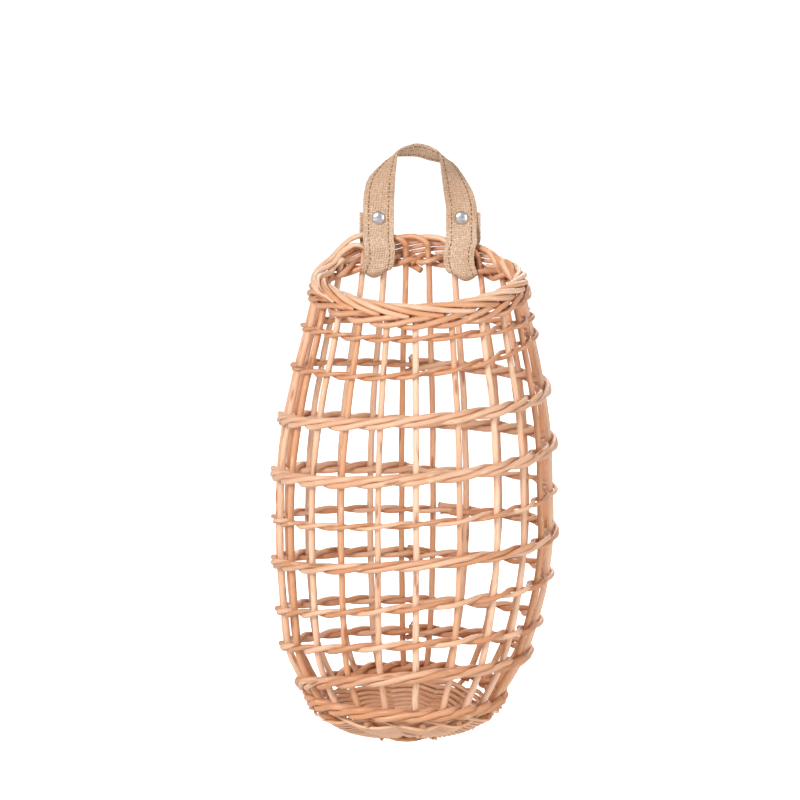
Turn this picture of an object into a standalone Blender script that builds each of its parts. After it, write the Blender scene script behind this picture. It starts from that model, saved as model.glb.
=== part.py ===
# Hanging onion basket: openwork willow, twined rows on upright stakes, with a webbing strap.
# Metres, +Z up, front towards -Y. The origin is the seat under the top of the strap.
import math

import bmesh
import bpy
from mathutils import Vector

# Body, measured from the plane of the foot wale
RIM_HEIGHT = 0.366
RIM_BACK_RISE = 0.026
RIM_FRONT_DROP = 0.009
HALF_WIDTH = 0.1174
FRONT_DEPTH = 0.104
BACK_DEPTH = 0.050
BODY_SETBACK = 0.049
BODY_SIDE_STEP = 0.003
BACK_FLATNESS = 0.75
RIM_EASE = 1.5

# Wall section: share of the rim height, then left and right half widths as shares of
# HALF_WIDTH, front as a share of FRONT_DEPTH, back as a share of BACK_DEPTH
SECTION_SHARES = (
    (0.00, 0.76, 0.62, 0.66, 1.34),
    (0.11, 0.88, 0.80, 0.80, 1.22),
    (0.21, 0.945, 0.905, 0.885, 1.12),
    (0.31, 0.985, 0.97, 0.94, 1.06),
    (0.43, 1.00, 1.00, 0.99, 1.02),
    (0.55, 0.99, 0.99, 1.00, 1.00),
    (0.66, 0.95, 0.97, 0.98, 1.00),
    (0.77, 0.88, 0.92, 0.925, 1.00),
    (0.89, 0.79, 0.845, 0.84, 1.00),
    (1.00, 0.735, 0.785, 0.77, 1.00),
    (1.12, 0.69, 0.735, 0.72, 1.00),
)

# Stakes, by angle from +X over the back, in degrees
STAKE_ANGLES = (
    15.5, 34.0, 51.0, 67.5, 82.0, 95.5, 109.0, 123.5, 142.0, 159.5, 177.5,
    191.5, 206.0, 222.0, 238.0, 254.5, 270.5, 289.0, 306.5, 322.0, 336.5, 356.0,
)
STAKE_COUNT = len(STAKE_ANGLES)
STAKE_BUTT_RADIUS = 0.0025
STAKE_TIP_RADIUS = 0.0022
STAKE_SHARES = (0.05, 0.12, 0.2, 0.3, 0.42, 0.55, 0.67, 0.79, 0.9, 1.0)

# Weavers
THIN_RADIUS = 0.0018
MEDIUM_RADIUS = 0.0022
THICK_RADIUS = 0.0025
FOOT_RADIUS = 0.0026
RIM_WEAVER_RADIUS = 0.0020
WEAVE_CLEARANCE = 0.0006
WALE_CLEARANCE = 0.0008
STACK_CLEARANCE = 0.0004
PASS_SHARE = 0.22
LONG_PASS_SHARE = 0.15
WALE_STACK_SHARE = 1.39

# The spiral of rows, as shares of the rim height at the left, front, right and back in turn
SPIRAL_START_ANGLE = 180.0
SPIRAL_STEP = 90.0
SPIRAL_SHARES = (
    0.039, 0.105, 0.115,
    0.128, 0.130, 0.184, 0.193,
    0.206, 0.215, 0.276, 0.306,
    0.322, 0.333, 0.380, 0.407,
    0.429, 0.437, 0.475, 0.508,
    0.527, 0.544, 0.582, 0.620,
    0.640, 0.675, 0.716, 0.749,
    0.779, 0.798, 0.820, 0.878,
    0.888, 0.893, 0.902, 0.918,
)

# Rolled border and rim waling
BORDER_SPANS = 5
BORDER_TURN = 345.0
BORDER_START = 270.0
BORDER_CUT_SHARE = 0.25
BEND_LEAN_SHARE = 0.5
BEND_DROP_SHARE = 0.8
BORDER_RADIUS = 0.0054
RIM_WALE_START = 5

# Domed base
FOOT_BACK_RISE = 0.011
BASE_DROP = 0.024
BASE_FRONT_LIFT = 0.006
BASE_STICK_ANGLES = (
    359.5, 27.0, 58.0, 88.0, 119.0, 149.0, 182.5, 211.0, 243.0, 275.5, 301.0, 331.0,
)
BASE_STICK_RADIUS = 0.0026
BASE_WEAVER_RADIUS = 0.0016
BASE_GROUP = 3
BASE_TURNS = 5
BASE_FIRST_SHARE = 0.34
BASE_LAST_SHARE = 0.87
BASE_STICK_SHARES = (1.05, 0.97, 0.84, 0.64, 0.46, 0.30)

# Strap and rivets
STRAP_WIDTH = 0.0265
STRAP_THICKNESS = 0.002
STRAP_GATHER_SHARE = 0.5
STRAP_LEFT = -0.034
STRAP_RIGHT = 0.0375
STRAP_TILT = 31.0
ARCH_SIDE_EASE = 0.85
ARCH_RISE_EASE = 0.9
TWIST_END_SHARE = 0.425
ARCH_HEIGHT = 0.050
HINGE_ABOVE_RIVET = 0.0088
RIVET_ABOVE_RIM = 0.0472
FLAT_BELOW_RIVET = 0.0066
RIVET_CAP_RADIUS = 0.0058
RIVET_CAP_HEIGHT = 0.0030
RIVET_BACK_HEIGHT = 0.0012
RIVET_POST_RADIUS = 0.0016
TAIL_ABOVE_RIVET = 0.0042
TAIL_SHIFT = 0.0032
LAYER_GAP = 0.0003
LOOP_CLEARANCE = 0.0008
HINGE_GAP = 0.0005
ARCH_STATIONS = 20
END_TURNS = (75.0, 45.0, 0.0)
CAP_TURNS = (25.0, 50.0, 72.0)
RIVET_BACK_TURNS = (60.0, 38.0)
RIVET_SIDES = 20
LOOP_SIDE_SHARE = 0.7
SMOOTH_BELOW = 40.0

# The seat of the arch, where the part hangs, above the rivets and the body's foot
RIVET_BELOW_SEAT = ARCH_HEIGHT + HINGE_ABOVE_RIVET
HANG_HEIGHT = RIM_HEIGHT + RIVET_ABOVE_RIM + RIVET_BELOW_SEAT

SQUARE = 0
HEXAGON = 1


# Shape of the wall

def smooth_table(table, share, column):
    """Cubic through the rows of a table, by the share in its first column."""
    last = len(table) - 1
    index = 0
    while index < last - 1 and table[index + 1][0] < share:
        index += 1
    low, high = table[index], table[index + 1]
    width = high[0] - low[0]
    t = (share - low[0]) / width

    def slope(i):
        before, after = table[max(i - 1, 0)], table[min(i + 1, last)]
        return (after[column] - before[column]) / (after[0] - before[0])

    t2, t3 = t * t, t * t * t
    return (
        low[column] * (2 * t3 - 3 * t2 + 1)
        + high[column] * (3 * t2 - 2 * t3)
        + slope(index) * width * (t3 - 2 * t2 + t)
        + slope(index + 1) * width * (t3 - t2)
    )


def section(height):
    share = max(0.0, height / RIM_HEIGHT)
    left, right, front, back = (smooth_table(SECTION_SHARES, share, c) for c in range(1, 5))
    return left * HALF_WIDTH, right * HALF_WIDTH, front * FRONT_DEPTH, back * BACK_DEPTH


def outline(angle, height):
    """Point of the wall in plan, in the body's own place."""
    left, right, front, back = section(height)
    c, s = math.cos(math.radians(angle)), math.sin(math.radians(angle))
    x = c * (right if c > 0 else left)
    y = back * abs(s) ** BACK_FLATNESS if s > 0 else -front * abs(s)
    return Vector((x, y, 0.0))


def outward(angle, height):
    step = 2.0
    along = outline(angle + step, height) - outline(angle - step, height)
    return Vector((along.y, -along.x, 0.0)).normalized()


def place(x, y, height):
    """From the body's place to the part's frame."""
    return Vector((x - BODY_SIDE_STEP, y - BODY_SETBACK, height - HANG_HEIGHT))


def wall_point(angle, height, out=0.0, lift=0.0):
    point = outline(angle, height) + outward(angle, height) * out
    return place(point.x, point.y, height + lift)


def rim_height(angle):
    s = math.sin(math.radians(angle))
    if s > 0:
        return RIM_HEIGHT + RIM_BACK_RISE * s ** RIM_EASE
    return RIM_HEIGHT - RIM_FRONT_DROP * abs(s) ** RIM_EASE


def spiral_height(angle):
    """Height of the spiral of rows after so many degrees round from its start."""
    table = [(i, share) for i, share in enumerate(SPIRAL_SHARES)]
    at = (angle - SPIRAL_START_ANGLE) / SPIRAL_STEP
    at = min(max(at, 0.0), len(table) - 1.0)
    return smooth_table(table, at, 1) * RIM_HEIGHT


def stake_angle(index):
    """Angle of a stake, or of a place between stakes, counted on over the turns."""
    whole = math.floor(index)
    rest = index - whole

    def exact(i):
        return STAKE_ANGLES[i % STAKE_COUNT] + 360.0 * (i // STAKE_COUNT)

    return exact(whole) * (1.0 - rest) + exact(whole + 1) * rest


# Making objects

def clear_scene():
    for obj in list(bpy.data.objects):
        bpy.data.objects.remove(obj, do_unlink=True)


def new_collection(name):
    collection = bpy.data.collections.new(name)
    bpy.context.scene.collection.children.link(collection)
    return collection


def material(name, colour, roughness, metallic=0.0):
    mat = bpy.data.materials.new(name)
    mat.use_nodes = True
    shader = mat.node_tree.nodes["Principled BSDF"]
    shader.inputs["Base Color"].default_value = (*colour, 1.0)
    shader.inputs["Roughness"].default_value = roughness
    shader.inputs["Metallic"].default_value = metallic
    mat.diffuse_color = (*colour, 1.0)
    return mat


def rod(name, points, radii, sides, colour):
    """One willow rod: a tube along points, with a radius at each."""
    curve = bpy.data.curves.new(name, "CURVE")
    curve.dimensions = "3D"
    widest = max(radii)
    curve.bevel_depth = widest
    curve.bevel_resolution = sides
    curve.use_fill_caps = True
    spline = curve.splines.new("POLY")
    spline.points.add(len(points) - 1)
    for item, point, radius in zip(spline.points, points, radii):
        item.co = (*point, 1.0)
        item.radius = radius / widest
    spline.use_smooth = True
    obj = bpy.data.objects.new(name, curve)
    obj.data.materials.append(material(name, colour, 0.6))
    PARTS.objects.link(obj)
    return obj


def mesh_object(name, bm, colour, roughness, metallic=0.0, collection=None):
    mesh = bpy.data.meshes.new(name)
    bmesh.ops.recalc_face_normals(bm, faces=bm.faces)
    bm.to_mesh(mesh)
    bm.free()
    mesh.shade_smooth()
    mesh.set_sharp_from_angle(angle=math.radians(SMOOTH_BELOW))
    mesh.materials.append(material(name, colour, roughness, metallic))
    obj = bpy.data.objects.new(name, mesh)
    (collection or PARTS).objects.link(obj)
    return obj


# Stakes, each bent over into the rolled border

def border_strand(index):
    """The top of a stake, rolled inwards, over and out along the rim for a few spans."""
    points = []
    steps = 2 * BORDER_SPANS
    for step in range(1, steps):
        span = step / 2
        points.append(border_point(index, span))
    points.append(border_point(index, BORDER_SPANS - BORDER_CUT_SHARE))
    return points


def border_point(index, span):
    angle = stake_angle(index + span)
    turn = math.radians(BORDER_START - BORDER_TURN * span / BORDER_SPANS)
    out = BORDER_RADIUS * math.cos(turn)
    lift = BORDER_RADIUS * math.sin(turn)
    return wall_point(angle, rim_height(angle), out, lift)


def base_depth():
    """From the middle of the foot wale down to the middle of the base sticks' ends."""
    return wale_reach(FOOT_RADIUS) + BASE_STICK_RADIUS + STACK_CLEARANCE


def foot_level(angle):
    """The foot waling lies level in front and at the sides, and climbs at the back."""
    return FOOT_BACK_RISE * max(0.0, math.sin(math.radians(angle))) ** RIM_EASE


def foot_centre():
    left, right, front, back = section(0.0)
    return Vector(((right - left) / 2, (back - front) / 2, 0.0))


def make_stake(index):
    angle = stake_angle(index)
    top = rim_height(angle) - BORDER_RADIUS - 2 * STAKE_TIP_RADIUS
    foot = foot_level(angle)
    butt = foot - wale_reach(FOOT_RADIUS)
    points = [wall_point(angle, butt), wall_point(angle, foot)]
    for share in STAKE_SHARES:
        points.append(wall_point(angle, foot + (top - foot) * share))
    bend = border_point(index, 0.0)
    lean = border_point(index, BORDER_CUT_SHARE / 2)
    drop = Vector((0.0, 0.0, STAKE_TIP_RADIUS * BEND_DROP_SHARE))
    points.append(bend.lerp(lean, BEND_LEAN_SHARE) - drop)
    points.extend(border_strand(index))
    count = len(points) - 1
    taper = STAKE_TIP_RADIUS - STAKE_BUTT_RADIUS
    radii = [STAKE_BUTT_RADIUS + taper * i / count for i in range(count + 1)]
    rod(f"stake_{index + 1:02d}", points, radii, HEXAGON, (0.72, 0.43, 0.24))


# Weaving

def pairing_points(first, last, order, radius, height):
    """A rod of a pair: inside one stake, outside the next, crossing its partner between."""
    out = STAKE_BUTT_RADIUS + radius + WEAVE_CLEARANCE
    lift = radius + STACK_CLEARANCE / 2
    points = []
    for stake in range(first + order, last + order + 1):
        outside = (stake - first - order) % 2 == 1
        side = out if outside else -out
        rise = lift if outside else -lift
        for share in (-PASS_SHARE, PASS_SHARE):
            angle = stake_angle(stake + share)
            level = height(angle) + math.copysign(rise, share * rise)
            points.append(wall_point(angle, level, side))
    return points


def wale_lift(radius):
    """How far a rod of three rises above the middle of its row."""
    return (2 * radius + STACK_CLEARANCE) / WALE_STACK_SHARE


def waling_points(first, last, order, radius, height):
    """A rod of three: outside two stakes, rising, and inside the third."""
    out = STAKE_BUTT_RADIUS + radius + WALE_CLEARANCE
    lift = wale_lift(radius)
    points = []

    def add(place_index, side, rise):
        angle = stake_angle(place_index)
        points.append(wall_point(angle, height(angle) + rise, side))

    for stake in range(first + order, last + order + 1):
        phase = (stake - first - order) % 3
        if phase == 0:
            add(stake - PASS_SHARE, -out, lift)
            add(stake + PASS_SHARE, -out, -lift)
        elif phase == 1:
            add(stake - LONG_PASS_SHARE, out, -lift)
            add(stake + 0.5, out, 0.0)
        else:
            add(stake + LONG_PASS_SHARE, out, lift)
    return points


def weave(name, strands, first, last, radius, height, sides, colour):
    maker = pairing_points if strands == 2 else waling_points
    for order in range(strands):
        points = maker(first, last, order, radius, height)
        letter = "abc"[order]
        rod(f"{name}_{letter}", points, [radius] * len(points), sides, colour)


def make_rows():
    """The spiral of rows up the side, in lengths of rod that follow on from each other."""
    turn = STAKE_COUNT
    left_side = 10
    right_side = 20
    runs = (
        ("row_1_wale", 3, left_side, turn + 2, THICK_RADIUS),
        ("rows_2_3_pair", 2, turn + 5, 3 * turn + 3, THIN_RADIUS),
        ("row_4_wale", 3, 3 * turn + 5, 4 * turn + 1, MEDIUM_RADIUS),
        ("row_5_pair", 2, 4 * turn + 4, 5 * turn + 3, THIN_RADIUS),
        ("rows_6_7_wale", 3, 5 * turn + 5, 7 * turn + 2, MEDIUM_RADIUS),
        ("rows_8_9_pair", 2, 7 * turn + 5, 8 * turn + right_side, THIN_RADIUS),
    )
    for name, strands, first, last, radius in runs:
        weave(name, strands, first, last, radius, spiral_height, SQUARE, (0.76, 0.47, 0.28))


def make_foot_wale():
    last = STAKE_COUNT - 3
    weave("foot_wale", 3, 0, last, FOOT_RADIUS, foot_level, HEXAGON, (0.70, 0.42, 0.25))


def wale_reach(radius):
    """From the middle of a row of three rods to its upper or lower side."""
    return wale_lift(radius) + radius


def make_rim_wale():
    radius = RIM_WEAVER_RADIUS
    below = BORDER_RADIUS + STAKE_TIP_RADIUS + STACK_CLEARANCE + wale_reach(radius)

    def height(angle):
        return rim_height(angle) - below

    last = RIM_WALE_START + STAKE_COUNT - 3
    weave("rim_wale", 3, RIM_WALE_START, last, radius, height, SQUARE, (0.78, 0.50, 0.30))


# Domed base

def base_surface(angle, share):
    centre = foot_centre()
    spot = centre + (outline(angle, 0.0) - centre) * share
    front = max(0.0, -math.sin(math.radians(angle)))
    drop = BASE_DROP * max(0.0, 1.0 - share ** 2)
    arch = BASE_FRONT_LIFT * front ** 2 * 4 * share * (1.0 - share)
    rise = foot_level(angle) * share ** 2
    return place(spot.x, spot.y, rise + arch - drop - base_depth())


def base_point(angle, share, above=0.0):
    """A place on the dome, or so far above it, square to its surface."""
    step_angle, step_share = 3.0, 0.02
    along = base_surface(angle + step_angle, share) - base_surface(angle - step_angle, share)
    out = base_surface(angle, share + step_share) - base_surface(angle, share - step_share)
    normal = out.cross(along).normalized()
    return base_surface(angle, share) + normal * above


def base_stick_points(number):
    """A stick bent over the dome; the sticks of a group lie side by side in the middle."""
    group, order = divmod(number, BASE_GROUP)
    side = order - (BASE_GROUP - 1) / 2
    pitch = 2 * BASE_STICK_RADIUS + LAYER_GAP
    layer = (BASE_STICK_RADIUS + LAYER_GAP) * (1 if group else -1)
    ends = len(BASE_STICK_ANGLES)
    near = BASE_STICK_ANGLES[(number - 1) % ends]
    opposite = ends // 2 + BASE_GROUP * group
    far = BASE_STICK_ANGLES[(opposite + BASE_GROUP // 2 - order) % ends]
    centre = foot_centre()
    points = [base_point(near, share) for share in BASE_STICK_SHARES]
    middle = BASE_GROUP * pitch / 2
    base = math.radians(90.0 * group)
    c, s = math.cos(base), math.sin(base)
    for along in (middle, -middle):
        x = centre.x + along * c - side * pitch * s
        y = centre.y + along * s + side * pitch * c
        points.append(place(x, y, layer - BASE_DROP - base_depth()))
    points.extend(base_point(far, share) for share in reversed(BASE_STICK_SHARES))
    return points


def make_base_sticks():
    for number in range(2 * BASE_GROUP):
        points = base_stick_points(number)
        radii = [BASE_STICK_RADIUS] * len(points)
        rod(f"base_stick_{number + 1}", points, radii, HEXAGON, (0.68, 0.40, 0.24))


def base_angle(index):
    """Angle of a base stick's end, or of a place between two, counted on over the turns."""
    ends = len(BASE_STICK_ANGLES)
    whole = math.floor(index)
    rest = index - whole

    def exact(i):
        turn = 360.0 * (i // ends)
        angle = BASE_STICK_ANGLES[i % ends]
        return turn + (angle - 360.0 if i % ends == 0 else angle)

    return exact(whole) * (1.0 - rest) + exact(whole + 1) * rest


def make_base_weavers():
    """Two rods twined round the fanned sticks, in one spiral from the middle to the foot."""
    ends = len(BASE_STICK_ANGLES)
    radius = BASE_WEAVER_RADIUS
    lift = BASE_STICK_RADIUS + radius + LAYER_GAP
    sway = radius + STACK_CLEARANCE / 2
    left, right, front, _back = section(0.0)
    mean_radius = (left + right + front) / 3
    total = BASE_TURNS * ends
    for order in range(2):
        points = []
        for stick in range(order, total + order):
            above = (stick - order) % 2 == 0
            for share in (-PASS_SHARE, PASS_SHARE):
                at = stick + share
                spread = BASE_LAST_SHARE - BASE_FIRST_SHARE
                radial = BASE_FIRST_SHARE + spread * at / total
                side = sway if above == (share > 0) else -sway
                radial += side / mean_radius
                height = lift if above else -lift
                points.append(base_point(base_angle(at), radial, height))
        letter = "ab"[order]
        rod(f"base_weaver_{letter}", points, [radius] * len(points), SQUARE, (0.74, 0.45, 0.27))


# Strap

def strap_section(bm, centre, across, normal, width, thickness):
    """Four corners of the webbing, in order round its section."""
    half_width = across * (width / 2)
    half_thickness = normal * (thickness / 2)
    corners = (
        centre - half_width - half_thickness,
        centre + half_width - half_thickness,
        centre + half_width + half_thickness,
        centre - half_width + half_thickness,
    )
    return [bm.verts.new(corner) for corner in corners]


def loft(bm, rings):
    for low, high in zip(rings, rings[1:]):
        for i in range(4):
            j = (i + 1) % 4
            bm.faces.new((low[i], low[j], high[j], high[i]))
    bm.faces.new(list(reversed(rings[0])))
    bm.faces.new(rings[-1])


def rounded_end(centre, along, across, normal):
    """Stations of a half round end, from its tip to its full thickness."""
    stations = []
    radius = STRAP_THICKNESS / 2
    for degrees in END_TURNS:
        turn = math.radians(degrees)
        stations.append((
            centre + along * (radius * math.sin(turn)),
            across, normal, STRAP_WIDTH, STRAP_THICKNESS * math.cos(turn),
        ))
    return stations


def make_strap_arch():
    """The free arch of the strap; it turns on the line where it leaves the loops."""
    seat = STRAP_THICKNESS / 2
    top = Vector((0.0, seat * math.sin(math.radians(STRAP_TILT)), seat))
    down = Vector((0.0, 0.0, -1.0))
    left = Vector((STRAP_LEFT, 0.0, -ARCH_HEIGHT))
    right = Vector((STRAP_RIGHT, 0.0, -ARCH_HEIGHT))
    across_left = Vector((1.0, 0.0, 0.0))
    back = Vector((0.0, 1.0, 0.0))
    stations = rounded_end(left, down, across_left, back)
    for step in range(1, ARCH_STATIONS):
        share = step / ARCH_STATIONS
        turn = math.pi * share
        side = left if share < 0.5 else right
        x = side.x * abs(math.cos(turn)) ** ARCH_SIDE_EASE
        rise = math.sin(turn) ** ARCH_RISE_EASE
        centre = Vector((x, top.y * rise, left.z + (top.z - left.z) * rise))
        twist = twist_at(share)
        tilt = math.radians(STRAP_TILT) * math.sin(turn)
        across = Vector((
            math.cos(twist),
            -math.sin(twist) * math.cos(tilt),
            math.sin(twist) * math.sin(tilt),
        ))
        stations.append((centre, across, None, STRAP_WIDTH, STRAP_THICKNESS))
    stations.extend(reversed(rounded_end(right, down, -across_left, back)))
    arch = build_strap("strap_arch", stations)
    arch.location = (0.0, 0.0, -ARCH_HEIGHT)
    for vert in arch.data.vertices:
        vert.co -= arch.location


def twist_at(share):
    """Turn of the webbing's width as it goes over: flat at the legs, on edge at the top."""
    near = min(1.0, min(share, 1.0 - share) / TWIST_END_SHARE)
    quarter = math.pi / 2 * near * near * (3.0 - 2.0 * near)
    return quarter if share < 0.5 else math.pi - quarter


def build_strap(name, stations):
    bm = bmesh.new()
    rings = []
    for i, (centre, across, normal, width, thickness) in enumerate(stations):
        before = stations[max(i - 1, 0)][0]
        after = stations[min(i + 1, len(stations) - 1)][0]
        if normal is None:
            along = (after - before).normalized()
            normal = along.cross(across).normalized()
            across = normal.cross(along).normalized()
        rings.append(strap_section(bm, centre, across, normal, width, thickness))
    loft(bm, rings)
    return mesh_object(name, bm, (0.62, 0.45, 0.30), 0.9)


def loop_stations(x_leg, x_gap):
    """The strap's end: down inside the rim, under it between two stakes, up behind it."""
    half = STRAP_THICKNESS / 2
    layer = STRAP_THICKNESS + LAYER_GAP
    band = BORDER_RADIUS + STAKE_TIP_RADIUS + LOOP_CLEARANCE + half
    near, far, high, low = band_reach(x_gap)
    inside = near - band
    outside = far + band
    rivet = -RIVET_BELOW_SEAT
    flat = rivet - FLAT_BELOW_RIVET
    front_top = -ARCH_HEIGHT - STRAP_THICKNESS - HINGE_GAP
    rim_top = high + BORDER_RADIUS + STAKE_TIP_RADIUS - HANG_HEIGHT
    rim_low = low - rim_band_depth() - HANG_HEIGHT
    bottom = rim_low - LOOP_CLEARANCE - half
    width = STRAP_WIDTH
    tight = STRAP_WIDTH * STRAP_GATHER_SHARE
    middle = (x_leg + x_gap) / 2
    x_tail = x_leg + math.copysign(TAIL_SHIFT, x_leg)
    path = (
        (x_leg, 0.0, flat, width),
        (x_leg, inside, rim_top, width),
        (middle, inside, (rim_top + rim_low) / 2, width),
        (middle, inside, rim_low + half, width),
        (x_gap, inside + half, bottom - half, tight),
        (x_gap, (near + inside) / 2, bottom - layer, tight),
        (x_gap, (far + outside) / 2, bottom - layer, tight),
        (x_gap, outside - half, bottom - half, tight),
        (middle, outside, rim_low + half, width),
        (middle, outside, (rim_top + rim_low) / 2, width),
        (x_tail, outside, rim_top, width),
        (x_tail, layer, flat, width),
    )
    across = Vector((1.0, 0.0, 0.0))
    up, back = Vector((0.0, 0.0, 1.0)), Vector((0.0, 1.0, 0.0))
    stations = rounded_end(Vector((x_leg, 0.0, front_top)), up, across, -back)
    for x, y, z, wide in path:
        stations.append((Vector((x, y, z)), across, None, wide, STRAP_THICKNESS))
    tail = Vector((x_tail, layer, rivet + TAIL_ABOVE_RIVET))
    stations.append((tail, across, back, STRAP_WIDTH, STRAP_THICKNESS))
    return stations


def band_reach(x_gap):
    """Nearest and farthest wall, and highest and lowest rim, over the strap's width."""
    spots = []
    for step in range(61):
        angle = 30.0 + 2.0 * step
        rim = rim_height(angle)
        spot = outline(angle, rim)
        if abs(spot.x - BODY_SIDE_STEP - x_gap) < STRAP_WIDTH * LOOP_SIDE_SHARE:
            spots.append((spot.y - BODY_SETBACK, rim))
    walls = [wall for wall, _ in spots]
    rims = [rim for _, rim in spots]
    return min(walls), max(walls), max(rims), min(rims)


def rim_band_depth():
    """From the border's middle down to the underside of the rim waling."""
    border = BORDER_RADIUS + STAKE_TIP_RADIUS
    return border + 2 * wale_reach(RIM_WEAVER_RADIUS) + 2 * STACK_CLEARANCE


def make_strap_loop(name, x_leg, x_gap, cutter):
    obj = build_strap(name, loop_stations(x_leg, x_gap))
    hole = obj.modifiers.new("rivet_hole", "BOOLEAN")
    hole.operation = "DIFFERENCE"
    hole.object = cutter
    return obj


def turned(name, profile, x, colour, collection, metallic):
    """A profile of (radius, depth) pairs turned about the rivet's line."""
    bm = bmesh.new()
    sides = RIVET_SIDES
    rings = []
    for radius, y in profile:
        ring = []
        for i in range(sides):
            turn = 2.0 * math.pi * i / sides
            spot = (x + radius * math.cos(turn), y, -RIVET_BELOW_SEAT + radius * math.sin(turn))
            ring.append(bm.verts.new(spot))
        rings.append(ring)
    for low, high in zip(rings, rings[1:]):
        for i in range(sides):
            j = (i + 1) % sides
            bm.faces.new((low[i], high[i], high[j], low[j]))
    bm.faces.new(rings[0])
    bm.faces.new(list(reversed(rings[-1])))
    return mesh_object(name, bm, colour, 0.25, metallic, collection)


def make_rivet(name, x):
    half = STRAP_THICKNESS / 2
    front = -half - LAYER_GAP
    back = 3 * half + 2 * LAYER_GAP
    profile = [(RIVET_POST_RADIUS, back), (RIVET_POST_RADIUS, front)]
    profile.append((RIVET_CAP_RADIUS, front))
    for degrees in CAP_TURNS:
        turn = math.radians(degrees)
        profile.append((
            RIVET_CAP_RADIUS * math.cos(turn),
            front - RIVET_CAP_HEIGHT * math.sin(turn),
        ))
    inner, outer = (RIVET_CAP_RADIUS * math.cos(math.radians(t)) for t in RIVET_BACK_TURNS)
    back_cap = [
        (inner, back + RIVET_BACK_HEIGHT),
        (outer, back + RIVET_BACK_HEIGHT / 2),
        (outer, back),
    ]
    turned(name, back_cap + profile, x, (0.80, 0.80, 0.82), PARTS, 1.0)


def make_hole_cutter(name, x):
    reach = STRAP_WIDTH / 2
    radius = RIVET_POST_RADIUS + LAYER_GAP
    cutter = turned(name, [(radius, reach), (radius, -reach)], x, (0.5, 0.5, 0.5), CUTTERS, 0.0)
    cutter.hide_render = True
    cutter.display_type = "WIRE"
    return cutter


def make_strap():
    gap_left, gap_right = gap_between(6, 7), gap_between(2, 3)
    make_strap_arch()
    left_cutter = make_hole_cutter("hole_left", STRAP_LEFT)
    right_cutter = make_hole_cutter("hole_right", STRAP_RIGHT)
    make_strap_loop("strap_loop_left", STRAP_LEFT, gap_left, left_cutter)
    make_strap_loop("strap_loop_right", STRAP_RIGHT, gap_right, right_cutter)
    make_rivet("rivet_left", STRAP_LEFT)
    make_rivet("rivet_right", STRAP_RIGHT)


def gap_between(first, second):
    """Middle of the space between two back stakes, just under the rim."""
    height = rim_height(90.0) - rim_band_depth()
    spots = [outline(stake_angle(i), height).x for i in (first, second)]
    return sum(spots) / 2 - BODY_SIDE_STEP


clear_scene()
PARTS = new_collection("onion_basket")
CUTTERS = new_collection("cutters")
for stake_index in range(STAKE_COUNT):
    make_stake(stake_index)
make_rows()
make_foot_wale()
make_rim_wale()
make_base_sticks()
make_base_weavers()
make_strap()
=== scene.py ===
# A hanging onion basket of peeled willow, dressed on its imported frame.
# Every rod of the frame gets a fine round rod with grain, knots and cut ends, laid along
# the same path, and the strap becomes one woven band with its seams and rivets.
import math
import random

import bmesh
import bpy
import numpy
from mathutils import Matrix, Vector


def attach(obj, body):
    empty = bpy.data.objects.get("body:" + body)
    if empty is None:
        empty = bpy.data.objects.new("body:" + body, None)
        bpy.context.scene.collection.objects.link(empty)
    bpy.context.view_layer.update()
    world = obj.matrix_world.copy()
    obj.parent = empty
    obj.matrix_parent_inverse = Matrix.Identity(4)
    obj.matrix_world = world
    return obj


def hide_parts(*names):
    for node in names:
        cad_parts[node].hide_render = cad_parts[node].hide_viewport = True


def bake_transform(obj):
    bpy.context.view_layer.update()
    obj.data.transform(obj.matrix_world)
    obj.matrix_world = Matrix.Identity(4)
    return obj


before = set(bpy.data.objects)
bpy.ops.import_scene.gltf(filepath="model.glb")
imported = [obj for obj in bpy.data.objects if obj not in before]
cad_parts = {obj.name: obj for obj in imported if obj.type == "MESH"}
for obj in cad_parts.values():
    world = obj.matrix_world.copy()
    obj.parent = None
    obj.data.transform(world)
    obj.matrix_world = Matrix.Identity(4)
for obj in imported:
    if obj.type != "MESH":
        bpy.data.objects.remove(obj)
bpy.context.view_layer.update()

# Body, measured from the plane of the foot waling
RIM_HEIGHT = 0.366
RIM_BACK_RISE = 0.026
RIM_FRONT_DROP = 0.0138
RIM_LEFT_RISE = 0.0035
RIM_LEFT_ANGLE = 135.0
RIM_LEFT_SPREAD = 20.0
HALF_WIDTH = 0.1174
FRONT_DEPTH = 0.104
BACK_DEPTH = 0.050
BODY_SETBACK = 0.049
BODY_SIDE_STEP = 0.003
BACK_FLATNESS = 0.75
RIM_EASE = 1.5

# Wall section: share of the rim height, then left and right half widths as shares of
# HALF_WIDTH, front as a share of FRONT_DEPTH, back as a share of BACK_DEPTH
SECTION_SHARES = (
    (0.00, 0.735, 0.60, 0.66, 1.34),
    (0.11, 0.92, 0.80, 0.80, 1.22),
    (0.21, 0.965, 0.905, 0.885, 1.12),
    (0.31, 0.99, 0.97, 0.94, 1.06),
    (0.43, 1.00, 1.00, 0.99, 1.02),
    (0.55, 0.99, 0.99, 1.00, 1.00),
    (0.66, 0.95, 0.97, 0.98, 1.00),
    (0.77, 0.875, 0.92, 0.925, 1.00),
    (0.89, 0.775, 0.84, 0.84, 1.00),
    (1.00, 0.698, 0.768, 0.77, 1.00),
    (1.12, 0.65, 0.72, 0.72, 1.00),
)

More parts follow.
